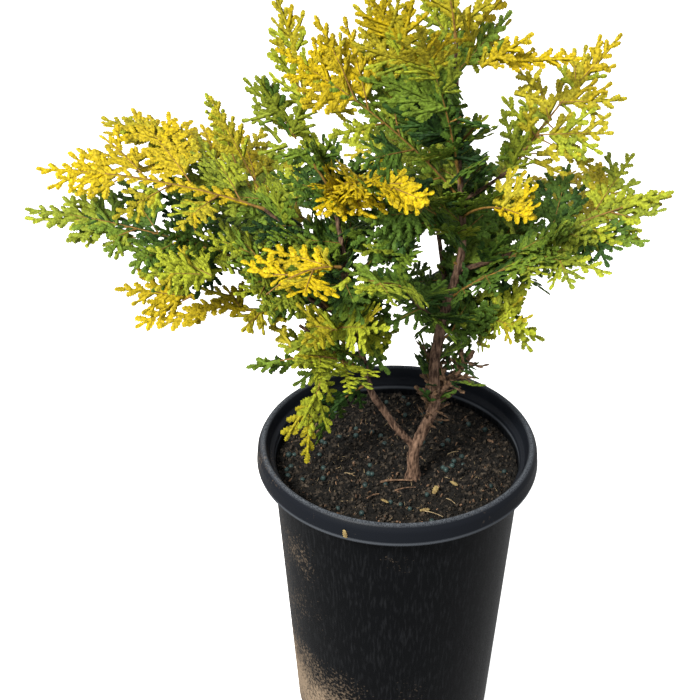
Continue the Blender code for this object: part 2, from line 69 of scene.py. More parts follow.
# How far the seed moves on for draws that differ, and how many shapes there are to pick from
TURN_SHIFT = 11.0
PICK_SHIFT = 5.0
SIZE_SHIFT = 7.0
SHAPES = 3

# Pot
POT_HEIGHT = 200.0
POT_SIDES = 144
LIP_RADIUS = 82.5
LIP_DEPTH = 13.5
WALL_RADIUS = 73.2
WALL_TAPER = 0.066
WALL = 1.5
FLOOR = 2.5
FOOT_EDGE = 1.5
INNER_TOP_RADIUS = 71.9
INNER_TOP_DROP = 9.8
# The lip and the ledge inside it in section: distance in from LIP_RADIUS, and drop from the rim's top
UNDER_LIP = (
    (8.2, 10.4),
    (6.0, 9.8),
    (4.6, 2.4),
    (3.0, 2.4),
    (1.7, LIP_DEPTH),
    (0.5, LIP_DEPTH),
)
OVER_LIP = (
    (0.0, 12.0),
    (0.7, 4.0),
    (2.2, 1.0),
    (4.0, 0.0),
    (5.7, 1.0),
    (6.7, 4.0),
    (7.5, 8.0),
    (9.7, 8.6),
)
ROUNDING = 1.2
ROUNDING_STEPS = 4
ROUNDING_SHARE = 0.45
DRAIN_HOLES = 6
DRAIN_RADIUS = 4.0
DRAIN_HEIGHT = 7.0
DRAIN_SIDES = 32
DRAIN_CUT = 40.0
SMOOTH_POT = 40.0
# Heights where the lip's top is worn and has a painted highlight, and heights over the lip's foot where
# its face, painted with a bluish sheen, starts and where its lower edge has a painted highlight
LIP_WEAR_AND_HIGHLIGHT_FROM = 198.4
LIP_WEAR_AND_HIGHLIGHT_TO = 200.0
LIP_FACE = 1.5
EDGE_HIGHLIGHT_FROM = 1.8
EDGE_HIGHLIGHT_TO = 3.0
EDGE_HIGHLIGHT = 0.55
# Where soil has dried on the wall: heights, places across and places in depth between which it
# thickens, how much of it there is low down, higher up and everywhere, and the size of smears and specks
DUST_FROM = 76.0
DUST_TO = 20.0
DUST_ACROSS = (-10.0, -55.0)
DUST_DEPTHWAYS = (55.0, 5.0)
DUST_LOW = 1.19
DUST_HIGH = 0.11
DUST_EVERYWHERE = 0.45
SMEAR_SIZE = 26.0
SPECK_SIZE = 620.0
SPECKS_FROM = 0.18
SPECKS_TO = 0.42
# The pot's colours, wear, painted sheen and highlights, and roughness
EVEN = (1.0, 1.0, 1.0)
POT_BLACK = (0.0022, 0.0026, 0.0033)
SCUFF_BLACK = (0.012, 0.013, 0.015)
# The lip's black is lighter and bluer than the wall's: a painted sheen
LIP_SHEEN_BLACK = (0.0070, 0.0085, 0.0120)
# Worn grey that is also a painted highlight, on the lip's top and along its lower edge
WORN_AND_HIGHLIGHT_GREY = (0.105, 0.118, 0.138)
DRY_SOIL = (0.270, 0.205, 0.145)
SCUFFS = {"Scale": 760.0, "Stretch": (1.0, 1.0, 0.16), "Detail": 5.0, "Low": 0.50, "High": 0.80}
FINE_WEAR = {"Scale": 1500.0, "Stretch": EVEN, "Detail": 2.0, "Low": 0.3, "High": 0.7}
POT_ROUGH = 0.34
ROUGH_WEAR = 0.14
ROUGH_DUST = 0.35
POT_BUMP = 0.12
POT_BUMP_DEPTH = 0.3
POT_SHEEN = 0.06

# Potting mix
SOIL_LEVEL = POT_HEIGHT - 16.0
SOIL_RINGS = 56
SOIL_SIDES = 150
SOIL_DEPTH = 30.0
LUMP_HEIGHT = 1.6
LUMP_SIZE = 11.0
LUMP_SLICE = 0.5
LUMP_SINK = 0.4
GRIT_HEIGHT = 0.7
GRIT_SIZE = 3.2
GRIT_SLICE = 7.5
STREWN_RINGS = 18
STREWN_SIDES = 60
ANY_TURN = 3.14
SIZE_FALL = 2.2

# Bits strewn over the potting mix: proportions, detail and unevenness of each, how many to a square
# metre, smallest and largest, how far they stand over the mix and clear of the pot, and the seed
Strewn = namedtuple("Strewn", "name finish stretch detail rough density smallest largest lift inset seed")
STREWN = (
    Strewn("soil_crumbs", "dark_crumb", (1.0, 0.8, 0.7), 1, 0.28, 250000.0, 1.0, 4.6, 0.3, 1.5, 3),
    Strewn("bark_chips", "bark_chip", (1.0, 0.42, 0.26), 1, 0.2, 20000.0, 1.2, 5.5, 0.4, 3.0, 8),
    Strewn("pale_fibres", "straw", (1.0, 0.08, 0.06), 1, 0.2, 22000.0, 1.0, 6.0, 0.5, 4.0, 27),
    Strewn("feed_beads", "feed_bead", (1.0, 1.0, 0.96), 2, 0.03, 3600.0, 2.9, 3.7, 0.9, 4.0, 15),
)

# Bits that lie on the potting mix: a stick's two ends, its radius and finish
Stick = namedtuple("Stick", "x y to_x to_y radius finish")
STICKS = (
    Stick(-10.4, -23.5, 8.3, -21.8, 0.8, "bark_chip"),
    Stick(12.9, -49.2, 24.4, -54.6, 0.3, "straw"),
    Stick(-2.0, -31.0, 10.0, -28.0, 0.5, "bark_chip"),
    Stick(27.0, -38.0, 32.0, -43.0, 0.3, "straw"),
    Stick(-31.0, -14.0, -25.0, -17.0, 0.3, "straw"),
    Stick(-18.0, -38.0, -11.0, -34.0, 0.5, "bark_chip"),
    Stick(30.0, 4.0, 37.0, 7.0, 0.3, "straw"),
)
STICK_POINTS = 5
STICK_BOW = 1.2
STICK_LIFT = 1.0
STICK_TAPER = 0.4
# Fallen leaf scraps: place, length, the way each points, and the way its flat side faces
Scrap = namedtuple("Scrap", "x y z length points faces")
SCRAPS = (
    Scrap(11.7, -49.2, SOIL_LEVEL + 1.5, 6.0, (1, 0.3, 0.1), (0, 0, 1)),
    Scrap(20.0, -34.0, SOIL_LEVEL + 1.5, 6.5, (0.4, 1, 0.2), (0, -0.3, 1)),
    Scrap(-6.0, -42.0, SOIL_LEVEL + 1.5, 5.0, (-1, 0.6, 0.1), (0.2, 0, 1)),
    Scrap(30.5, -22.0, SOIL_LEVEL + 1.5, 6.0, (0.8, -1, 0.1), (0, 0.1, 1)),
    Scrap(-31.0, -76.6, POT_HEIGHT - 6.0, 5.5, (0.2, -0.1, -1), (-0.38, -0.92, 0.1)),
)
SCRAP_WIDTH_SHARE = 0.55
SCRAP_THICKNESS = 0.9

# Bark: its mesh on each kind of limb, and how closely its ridges and lumps follow one another
TRUNK_BARK = {"Step": 0.8 * MM, "Sides": 26, "Relief": 0.26}
BOUGH_BARK = {"Step": 1.0 * MM, "Sides": 14, "Relief": 0.2}
STICK_BARK = {"Step": 1.5 * MM, "Sides": 6, "Relief": 0.2}
FROND_BARK = {"Step": 4.0 * MM, "Sides": 5, "Relief": 0.12}
RIDGES_ACROSS = 900.0
RIDGES_ALONG = 260.0
RIDGE_ROUGHNESS = 0.6
BARK_LUMPS = 110.0
BARK_LUMP_SHARE = 0.35
BARK_STEPS = 4
FOOT_SWELL = 1.25
ROOT_SWELL = 1.1

# Stems: x, y, z and radius where the middle of the stem passes
TRUNK_COURSE = (
    (9.0, -16.0, SOIL_LEVEL + GAP, 4.8),
    (9.0, -16.0, 190.0, 3.6),
    (9.5, -16.0, 205.0, 3.2),
    (20.0, -15.0, 234.0, 3.1),
    (19.0, -14.0, 259.0, 3.1),
    (24.0, -13.0, 295.0, 2.7),
    (32.0, -12.0, 334.0, 2.0),
    (28.0, -12.0, 385.0, 1.4),
    (24.0, -12.0, 450.0, 0.9),
)
FORK_ALONG = 21.0
LEFT_STEM_COURSE = (
    (-2.0, -16.0, 220.0, 2.1),
    (-9.0, -16.0, 232.0, 2.0),
    (-15.0, -16.0, 242.0, 2.0),
    (-19.0, -15.0, 257.0, 1.9),
    (-26.0, -12.0, 297.0, 1.6),
    (-33.0, -10.0, 340.0, 1.3),
    (-40.0, -8.0, 380.0, 1.0),
)
COURSE_STEPS = 2
ROOT_DEPTH = 4.0

# Boughs: the limb that each leaves, how far along it, length, azimuth, rise, upward bend and radii
Bough = namedtuple("Bough", "name limb along length azimuth rise bend foot tip")
BOUGH_STEPS = 4
BOUGHS = (
    Bough("right_low_bough", "trunk", 56, 32, 350, 54, 12, 1.6, 1.1),
    Bough("right_mid_bough", "trunk", 138, 42, 2, 16, 12, 1.5, 1.0),
    Bough("right_high_bough", "trunk", 180, 30, 12, 26, 12, 1.2, 0.9),
    Bough("front_bough", "trunk", 105, 50, 240, 38, 14, 1.6, 1.0),
    Bough("front_left_bough", "left_stem", 104, 48, 262, 38, 14, 1.3, 0.9),
    Bough("back_bough", "trunk", 120, 60, 96, 22, 14, 1.6, 1.0),
    Bough("back_right_bough", "trunk", 132, 50, 48, 8, 10, 1.4, 0.9),
    Bough("left_low_bough", "left_stem", 62, 40, 190, 30, 14, 1.4, 0.9),
    Bough("left_mid_bough", "left_stem", 85, 55, 184, 30, 14, 1.4, 0.9),
    Bough("left_high_bough", "left_stem", 122, 50, 178, 30, 14, 1.2, 0.9),
    Bough("back_left_bough", "left_stem", 78, 60, 122, 24, 14, 1.4, 0.9),
)

# Fronds: the limb, how far along it (TIP is its end), length, width, azimuth, rise at the foot,
# droop from foot to tip, roll about the frond's own axis, and tone: how far its leaves stand along
# LEAF_COLOURS
Frond = namedtuple("Frond", "name limb along length width azimuth rise droop roll tone")
TIP = None
FRONDS = (
    Frond("leader", "trunk", TIP, 42, 38, 190, 84, 10, 60, 5.8),
    Frond("top_left_plume", "trunk", 197, 102, 54, 195, 70, 10, 70, 5.6),
    Frond("top_right_plume", "trunk", 224, 62, 44, 16, 84, 10, -65, 5.8),
    Frond("top_front_plume", "trunk", 188, 106, 60, 240, 72, 14, 20, 4.8),
    Frond("top_back_plume", "trunk", 204, 88, 54, 100, 66, 12, 20, 4.0),
    Frond("upper_left_spire", "left_stem", TIP, 92, 46, 183, 79, 4, 60, 5.0),
    Frond("upper_left_green", "left_stem", 164, 74, 46, 186, 62, 8, 60, 3.0),
    Frond("upper_left_gold", "trunk", 180, 120, 90, 192, 54, 14, -50, 6.6),
    Frond("upper_front_gold", "left_stem", 166, 88, 60, 306, 37, 30, -10, 7.2),
    Frond("upper_right_gold", "trunk", 212, 76, 38, 347, 54, 16, 40, 5.2),
    Frond("left_gold_tier", "left_high_bough", TIP, 114, 112, 186, 25, 14, -18, 6.7),
    Frond("left_back_tier", "left_stem", 132, 148, 88, 154, 29, 16, -8, 6.2),
    Frond("left_green_tier", "left_mid_bough", TIP, 126, 82, 182, 27, 12, -14, 3.0),
    Frond("left_centre_tier", "left_mid_bough", 12, 86, 64, 202, 54, 18, -14, 3.4),
    Frond("left_low_green", "left_mid_bough", 30, 94, 66, 214, 36, 16, -8, 4.2),
    Frond("left_low_gold", "left_low_bough", TIP, 96, 44, 190, 32, 18, -20, 6.2),
    Frond("front_gold_fan", "front_left_bough", TIP, 58, 72, 212, 26, 50, 0, 7.6),
    Frond("front_green_fan", "front_bough", TIP, 58, 56, 236, 52, 36, 0, 3.4),
    Frond("lower_left_fan", "left_stem", 54, 76, 84, 222, 46, 26, 0, 4.6),
    Frond("lower_front_fan", "left_stem", 78, 70, 76, 250, 46, 28, 0, 4.8),
    Frond("hanging_frond", "left_low_bough", 14, 66, 32, 205, -56, 26, 60, 4.6),
    Frond("dark_droop", "left_stem", 46, 54, 34, 156, -32, 34, 40, 1.2),
    Frond("right_fan", "right_mid_bough", TIP, 68, 86, 358, 34, 14, 18, 4.6),
    Frond("right_low_fan", "right_mid_bough", 20, 62, 56, 318, 26, 16, 10, 3.4),
    Frond("right_feather", "right_high_bough", TIP, 80, 62, 19, 58, 12, 45, 5.4),
    Frond("right_yellow_spray", "trunk", 170, 78, 52, 292, 43, 26, 5, 6.6),
    Frond("right_low_lime", "right_low_bough", TIP, 60, 52, 330, 70, 20, 30, 4.6),
    Frond("trunk_brush", "trunk", 64, 36, 30, 165, 62, 10, 20, 1.6),
    Frond("trunk_right_brush", "trunk", 92, 46, 42, 8, 44, 16, 10, 1.8),
    Frond("centre_low_brush", "left_stem", 94, 46, 44, 350, 46, 14, 20, 1.6),
    Frond("centre_left_brush", "left_stem", 114, 60, 52, 322, 42, 14, 10, 1.6),
    Frond("centre_front_fan", "trunk", 142, 66, 58, 216, 35, 14, -10, 2.6),
    Frond("centre_high_fan", "trunk", 158, 74, 62, 214, 50, 18, -10, 1.8),
    Frond("centre_right_brush", "trunk", 120, 56, 50, 325, 48, 14, 10, 1.6),
    Frond("back_left_tier", "back_left_bough", TIP, 105, 94, 130, 20, 14, 0, 3.8),
    Frond("back_tier", "back_bough", TIP, 100, 94, 98, 20, 14, 0, 5.0),
    Frond("back_right_tier", "back_right_bough", TIP, 92, 86, 45, 10, 10, 0, 6.2),
    Frond("back_low_fan", "back_bough", 30, 72, 64, 68, 18, 18, 0, 3.4),
    Frond("back_low_spray", "left_stem", 66, 66, 56, 108, 22, 18, 0, 3.2),
    Frond("back_high_fan", "trunk", 166, 92, 76, 112, 36, 14, 0, 3.8),
)
FROND_SEED = 41
SPRAY_SEED = FROND_SEED + 1000

# How a frond branches, as in the part's source
STEM_POINTS = 6
STEM_RADIUS = 1.1
STEM_TIP_RADIUS = 0.5
STEM_SHARE = 0.76
TWIG_RADIUS = 0.8
TWIG_PITCH = 14.0
FIRST_TWIG = 0.14
TWIG_ANGLE_FOOT = 60.0
TWIG_ANGLE_TIP = 38.0
WIDEST = 0.3
FOOT_WIDTH = 0.6
TIP_WIDTH = 0.38
WIDTH_FALL = 1.2
FEWEST_TWIGS = 3
SHORT_REACH = 34.0
REACH_JITTER = 0.08
SPRAY_ROOT = 0.2
SPRAY_WIDTH = 0.58
SPRAY_SINK = 1.5
SPRAY_SAG = 0.12
TIP_SPRAY = 1.3
SPAN_FROM = 0.24
SPAN_PER_SHARE = 0.62
TILT_JITTER = 14.0
TURN_JITTER = 6.0

# How a spray branches on: leafy twigs to each side of its axis, and branchlets along them
LONE_TWIG = 24.0
SIDE_PITCH = 13.0
FIRST_SIDE = 0.2
LAST_SIDE = 0.92
SIDE_ANGLE_FOOT = 45.0
SIDE_ANGLE_TIP = 34.0
SIDE_TURN = 4.0
SIDE_BEND = 12.0
SIDE_SAG = 0.08
SIDE_LIFT = 7.0
SIDE_POINTS = 4
SIDE_LEAST = 3.0
SIDE_SHORTEST = 0.9
SIDE_LONGEST = 1.12
FIRST_START = 0.02
AXIS_POINTS = 6
LEAFY_TWIG_RADIUS = 1.6
LEAFY_TWIG_SIDES = 4
LEAFY_TWIG_FLATNESS = 0.3
LEAFY_TWIG_TAPER = 0.5
BARE_FOOT = 0.06
AT_TIP = 0.999
BRANCHLET = 9.5
BRANCHLET_SHARE = 0.55
BRANCHLET_ON_AXIS = 8.0
BRANCHLET_ON_LONE = 0.45
BRANCHLET_PITCH = 3.3
BRANCHLET_WIDTH = 5.0
BRANCHLET_LEAST_WIDTH = 3.0
BRANCHLET_WIDTH_SHARE = 0.54
BRANCHLET_THICKNESS = 1.1
BRANCHLET_ANGLE_FOOT = 40.0
BRANCHLET_ANGLE_TIP = 28.0
BRANCHLET_TURN = 8.0
BRANCHLET_SHORTEST = 0.82
BRANCHLET_LONGEST = 1.14
BRANCHLET_SEED = 20
TIP_SHRINK = 0.3
TIP_FALL = 1.6
# How the tone rises outward, from a share of a spray where it is the spray's own
TONE_OUTWARD = 1.5
TONE_ON_AXIS = 0.3
TONE_LEVEL = 0.4
TONE_JITTER = 0.9
STEM_SLIMMER = 0.7
STEM_LEAF_FROM = 0.1
STEM_LEAF = 8.0
# The thin brown stem that shows along a spray's axis: its radii, and how far it stands over the axis
SPRAY_STEM = (0.38, 0.32, 0.26, 0.18)
SPRAY_STEM_LIFT = 0.3

# A branchlet of unit size: places along its raised middle line, keel and tip, each with its height,
# how far its rim droops and narrows, and its lobes, a share of one lobe's length apart
BRANCHLET_RIDGE = ((0.18, 0.5), (0.5, 0.6), (0.82, 0.4))
BRANCHLET_KEEL = (0.45, -0.45)
BRANCHLET_TIP = (1.0, -0.3)
BRANCHLET_DROOP = 0.12
BRANCHLET_NARROWING = 1.7
BRANCHLET_FOOT = 0.7
FIRST_LOBE = 0.8
LOBE_STAGGER = 0.3
LOBE_REST = 0.35
NOTCH_AFTER = 0.3
# Branchlet shapes: lobes to a side, share of the length where it is widest, and depth of a notch
BRANCHLET_SHAPES = (
    (4, 0.55, 0.62),
    (4, 0.42, 0.70),
    (5, 0.60, 0.66),
)

# Dried brown sprays take this tone, below every leaf colour's
DRIED = "dried"
DRIED_TONE = -20.0

# Short sprays that clothe a limb inside the crown: first and last place along it, pitch, length, tone
Clothed = namedtuple("Clothed", "limb first last pitch length tone")
CLOTHED = (
    Clothed("trunk", 38, 82, 1.3, 11, DRIED_TONE),
    Clothed("trunk", 46, 80, 4.5, 14, 0.6),
    Clothed("right_low_bough", 2, 26, 1.8, 10, DRIED_TONE),
    Clothed("right_low_bough", 8, 30, 3.0, 13, 0.6),
    Clothed("left_stem", 48, 62, 3.0, 14, 1.2),
    Clothed("trunk", 66, 252, 5.0, 38, 2.2),
    Clothed("left_stem", 62, 178, 5.5, 36, 2.0),
    Clothed("right_low_bough", 8, 30, 7.0, 20, 1.0),
    Clothed("right_mid_bough", 6, 40, 6.0, 30, 2.2),
    Clothed("right_high_bough", 6, 28, 7.0, 26, 2.6),
    Clothed("front_bough", 6, 48, 6.0, 30, 2.2),
    Clothed("front_left_bough", 6, 46, 6.0, 30, 2.2),
    Clothed("back_bough", 6, 58, 3.6, 42, 2.4),
    Clothed("back_right_bough", 6, 48, 3.6, 36, 2.4),
    Clothed("left_low_bough", 6, 38, 6.0, 28, 2.4),
    Clothed("left_mid_bough", 6, 53, 6.0, 30, 1.8),
    Clothed("left_high_bough", 6, 48, 6.0, 30, 2.2),
    Clothed("back_left_bough", 6, 58, 3.6, 42, 2.4),
)
CLOTHING_SEED = 7
CLOTHING_ANGLE = 52.0
CLOTHING_TURN = 137.5
CLOTHING_JITTER = 12.0
CLOTHING_ROLL = 50.0
CLOTHING_SHORTEST = 0.75
CLOTHING_LONGEST = 1.15
CLOTHING_TONE_JITTER = 1.2

# Heights between which the trunk shows its bark on the near side
BARE_FROM = 247.0
BARE_TO = 337.0
BARE_HEADING = 0.1

# Fronds whose near side is in the shade of the far side: from which share of the stem on, change of
# tone, and share of the reach that the near twigs keep
NearSide = namedtuple("NearSide", "first tone reach")
NEAR_SIDES = {
    "upper_left_gold": NearSide(0.0, -0.5, 0.65),
    "left_gold_tier": NearSide(0.26, -1.0, 0.55),
    "left_back_tier": NearSide(0.0, -3.0, 0.8),
    "left_green_tier": NearSide(0.0, 0.8, 1.0),
    "right_fan": NearSide(0.0, -1.0, 1.0),
}

# Fronds whose foot is in shade: the share of the stem up to which it reaches, and its tone there
ShadedFoot = namedtuple("ShadedFoot", "until tone")
SHADED_FEET = {
    "upper_left_gold": ShadedFoot(0.75, 0.4),
    "top_front_plume": ShadedFoot(0.85, 0.4),
    "top_left_plume": ShadedFoot(0.80, 1.6),
    "top_back_plume": ShadedFoot(0.60, 1.0),
    "upper_right_gold": ShadedFoot(0.40, 2.4),
    "right_feather": ShadedFoot(0.25, 2.6),
    "left_green_tier": ShadedFoot(0.95, 0.6),
    "right_fan": ShadedFoot(0.60, 1.6),
    "left_gold_tier": ShadedFoot(0.20, 3.0),
    "left_back_tier": ShadedFoot(0.30, 2.0),
}
SHADE_FALL = 2.0

# Fronds that the photograph shows only within an outline, given by its corners in pixels
OUTLINES = {
    "front_gold_fan": ((246, 266), (264, 249), (352, 249), (350, 282), (318, 308), (290, 291)),
    "right_yellow_spray": (
        *((474, 188), (488, 172), (512, 171), (532, 184)),
        *((540, 202), (532, 219), (500, 214)),
    ),
    "upper_front_gold": (
        *((314, 176), (328, 147), (350, 147), (404, 178)),
        *((434, 194), (428, 210), (370, 216), (316, 212)),
    ),
}

# How far sprays are rolled about their own length to show their flat face to the side photographed
FACING_WAY = Vector((0.0, -0.84, 0.54))
FACING = 0.25
FACINGS = {
    "lower_left_fan": 0.8,
    "lower_front_fan": 0.8,
    "front_green_fan": 0.6,
    "front_gold_fan": 0.6,
    "upper_front_gold": 0.85,
    "right_yellow_spray": 0.85,
    "hanging_frond": 0.7,
    "left_low_gold": 0.6,
    "left_low_green": 0.5,
    "left_green_tier": 0.6,
    "right_fan": 0.55,
    "right_low_fan": 0.6,
    "right_low_lime": 0.6,
    "wisp": 0.75,
}
WISP_FACING = "wisp"

# Wisps, single sprays that stand out past a frond's own twigs: the frond, share of its stem, place of
# the tip, share of the way that is bare, width as a share of the length, and tone
Wisp = namedtuple("Wisp", "frond share x y z bare spread tone")
WISPS = (
    Wisp("left_back_tier", 0.80, -155, 25, 391, 0.35, 0.35, 5.6),
    Wisp("left_back_tier", 0.70, -143, 25, 390, 0.35, 0.35, 5.2),
    Wisp("left_back_tier", 0.55, -100, 20, 403, 0.40, 0.30, 4.2),
    Wisp("left_back_tier", 0.45, -97, 8, 405, 0.40, 0.35, 5.8),
    Wisp("left_green_tier", 0.40, -121, -40, 359, 0.15, 0.50, 1.8),
    Wisp("left_green_tier", 0.25, -109, -42, 357, 0.15, 0.50, 1.6),
    Wisp("left_low_green", 0.70, -97, -48, 339, 0.15, 0.60, 4.6),
    Wisp("upper_left_green", 0.70, -68, -14, 427, 0.20, 0.45, 1.6),
    Wisp("upper_left_spire", 0.25, -60, -16, 418, 0.10, 0.55, 1.6),
    Wisp("top_left_plume", 0.75, -23, -16, 466, 0.25, 0.40, 5.8),
    Wisp("top_left_plume", 0.55, -21, -16, 454, 0.25, 0.40, 5.2),
    Wisp("top_right_plume", 0.35, 81, -20, 443, 0.30, 0.22, 7.2),
    Wisp("top_right_plume", 0.30, 40, -24, 433, 0.20, 0.45, 6.8),
    Wisp("right_feather", 0.02, 46, -15, 396, 0.10, 0.50, 3.0),
    Wisp("right_feather", 0.12, 84, -14, 389, 0.30, 0.35, 5.4),
    Wisp("right_fan", 0.90, 135, -12, 365, 0.20, 0.50, 4.6),
    Wisp("right_fan", 0.85, 137, -16, 355, 0.20, 0.50, 5.0),
    Wisp("right_fan", 0.45, 106, -36, 352, 0.15, 0.50, 4.4),
    Wisp("right_fan", 0.25, 92, -38, 353, 0.15, 0.50, 3.4),
    Wisp("right_fan", 0.10, 78, -38, 358, 0.15, 0.50, 2.2),
    Wisp("trunk_right_brush", 0.10, 42, -24, 323, 0.10, 0.70, 1.4),
    Wisp("right_low_lime", 0.60, 71, -35, 293, 0.20, 0.60, 5.0),
    Wisp("lower_front_fan", 0.02, -9, -25, 268, 0.10, 0.60, 1.6),
    Wisp("lower_left_fan", 0.45, -78, -45, 287, 0.50, 0.22, 1.4),
    Wisp("hanging_frond", 0.15, -78, -40, 277, 0.40, 0.28, 2.4),
    Wisp("centre_left_brush", 0.10, -10, -34, 364, 0.10, 0.60, 1.4),
    Wisp("centre_left_brush", 0.30, -5, -36, 352, 0.10, 0.60, 1.2),
    Wisp("centre_low_brush", 0.20, -12, -34, 344, 0.10, 0.60, 1.2),
    Wisp("left_low_gold", 0.85, -137, -38, 303, 0.20, 0.60, 7.2),
    Wisp("left_low_gold", 0.60, -123, -40, 305, 0.25, 0.60, 7.0),
    Wisp("left_low_gold", 0.30, -104, -36, 313, 0.30, 0.60, 6.6),
    Wisp("upper_left_green", 0.50, -73, -15, 429, 0.30, 0.40, 3.4),
    Wisp("upper_left_green", 0.10, -62, -10, 396, 0.15, 0.50, 2.8),
    Wisp("upper_left_spire", 0.50, -66, -12, 444, 0.40, 0.40, 4.8),
    Wisp("upper_left_gold", 0.85, -41, -20, 460, 0.35, 0.50, 6.8),
    Wisp("top_right_plume", 0.20, 58, -20, 453, 0.25, 0.35, 7.0),
    Wisp("right_feather", 0.45, 89, -6, 387, 0.25, 0.50, 5.8),
    Wisp("right_feather", 0.30, 96, -8, 380, 0.30, 0.45, 5.6),
    Wisp("right_feather", 0.10, 81, -8, 376, 0.30, 0.45, 5.2),
    Wisp("right_feather", 0.20, 63, -10, 410, 0.25, 0.45, 5.6),
    Wisp("right_fan", 0.70, 130, -18, 367, 0.40, 0.45, 4.6),
    Wisp("right_fan", 0.10, 110, -30, 350, 0.10, 0.40, 3.6),
    Wisp("right_low_fan", 0.30, 100, -35, 349, 0.10, 0.50, 3.2),
    Wisp("right_low_fan", 0.10, 80, -30, 356, 0.10, 0.50, 2.6),
    Wisp("right_low_lime", 0.75, 67, -35, 286, 0.20, 0.60, 5.0),
    Wisp("right_low_lime", 0.45, 57, -30, 284, 0.30, 0.60, 4.8),
    Wisp("centre_high_fan", 0.45, -17, -40, 367, 0.15, 0.60, 2.0),
    Wisp("centre_high_fan", 0.30, -21, -42, 355, 0.15, 0.60, 1.8),
    Wisp("centre_high_fan", 0.20, -5, -38, 357, 0.10, 0.60, 1.6),
    Wisp("centre_front_fan", 0.55, -14, -38, 375, 0.15, 0.60, 2.4),
    Wisp("lower_left_fan", 0.80, -80, -40, 277, 0.50, 0.40, 2.2),
    Wisp("lower_front_fan", 0.05, -11, -25, 276, 0.10, 0.70, 2.6),
    Wisp("hanging_frond", 0.10, -55, -20, 254, 0.20, 0.60, 2.4),
    Wisp("upper_front_gold", 0.02, -37, -45, 384, 0.10, 0.60, 7.2),
    Wisp("upper_front_gold", 0.10, -29, -52, 367, 0.10, 0.60, 7.4),
    Wisp("upper_front_gold", 0.25, -17, -56, 366, 0.10, 0.60, 7.6),
    Wisp("upper_front_gold", 0.20, -22, -55, 389, 0.10, 0.60, 7.6),
    Wisp("dark_droop", 0.60, -46, -14, 236, 0.10, 0.40, 0.8),
    Wisp("dark_droop", 0.35, -38, -16, 232, 0.15, 0.35, 0.6),
    Wisp("dark_droop", 0.15, -32, -18, 243, 0.15, 0.40, 0.8),
    Wisp("left_green_tier", 0.90, -190, -22, 357, 0.30, 0.35, 4.2),
    Wisp("left_green_tier", 0.80, -180, -25, 345, 0.30, 0.35, 3.9),
    Wisp("left_green_tier", 0.65, -167, -28, 342, 0.30, 0.40, 3.2),
    Wisp("left_green_tier", 0.45, -149, -35, 335, 0.25, 0.50, 2.2),
    Wisp("left_green_tier", 0.30, -130, -38, 334, 0.25, 0.50, 3.4),
    Wisp("right_feather", 0.30, 50, -4, 415, 0.15, 0.55, 4.8),
    Wisp("hanging_frond", 0.60, -62, -28, 226, 0.10, 0.60, 5.2),
    Wisp("hanging_frond", 0.55, -42, -22, 226, 0.10, 0.60, 5.0),
    Wisp("right_low_lime", 0.55, 64, -32, 313, 0.15, 0.60, 5.0),
    Wisp("right_feather", 0.04, 52, -8, 404, 0.15, 0.30, 4.0),
)
WISP_SEED = 300

# Where the photograph shows sky through the crown: a pixel across and down, and half the gap's width
# and height in pixels
SkyGap = namedtuple("SkyGap", "across down wide high")
SKY_GAPS = (
    SkyGap(469, 93, 13, 26),
    SkyGap(488, 99, 13, 17),
    SkyGap(500, 137, 5, 12),
    SkyGap(651, 220, 12, 5),
    SkyGap(69, 232, 5, 5),
    SkyGap(104, 246, 6, 8),
    SkyGap(497, 343, 8, 8),
    SkyGap(489, 383, 12, 7),
    SkyGap(140, 146, 10, 4),
    SkyGap(291, 373, 14, 5),
    SkyGap(290, 353, 9, 3),
    SkyGap(528, 303, 8, 9),
    SkyGap(545, 70, 9, 7),
    SkyGap(548, 84, 5, 9),
    SkyGap(515, 129, 3, 6),
    SkyGap(478, 149, 11, 6),
    SkyGap(488, 157, 4, 8),
    SkyGap(432, 249, 13, 20),
    SkyGap(359, 260, 6, 7),
    SkyGap(357, 283, 4, 8),
    SkyGap(382, 269, 10, 4),
    SkyGap(405, 345, 13, 22),
    SkyGap(232, 282, 15, 6),
    SkyGap(319, 127, 10, 12),
    SkyGap(295, 147, 7, 3),
    SkyGap(197, 124, 4, 8),
    SkyGap(298, 326, 8, 6),
    SkyGap(314, 309, 7, 5),
    SkyGap(394, 311, 7, 5),
    SkyGap(252, 302, 7, 5),
    SkyGap(512, 243, 6, 3),
    SkyGap(94, 200, 5, 4),
    SkyGap(471, 294, 3, 7),
    # beyond the outline
    SkyGap(66, 149, 24, 6),
    SkyGap(35, 176, 9, 12),
    SkyGap(62, 198, 5, 4),
    SkyGap(48, 234, 7, 7),
    SkyGap(70, 242, 3, 8),
    SkyGap(98, 259, 9, 11),
    SkyGap(126, 272, 5, 9),
    SkyGap(86, 138, 16, 12),
    SkyGap(240, 104, 12, 20),
    SkyGap(246, 66, 12, 18),
    SkyGap(264, 30, 10, 30),
    SkyGap(566, 40, 14, 10),
    SkyGap(628, 76, 9, 16),
    SkyGap(630, 104, 9, 16),
    SkyGap(627, 140, 18, 13),
    SkyGap(568, 112, 14, 3),
    SkyGap(664, 242, 22, 16),
    SkyGap(638, 252, 22, 8),
    SkyGap(664, 160, 18, 12),
    SkyGap(484, 356, 12, 7),
    SkyGap(560, 300, 18, 10),
    SkyGap(270, 350, 12, 5),
    SkyGap(238, 338, 14, 10),
    SkyGap(200, 332, 18, 8),
    SkyGap(94, 262, 12, 6),
)
SKY_MARGIN = 2.0

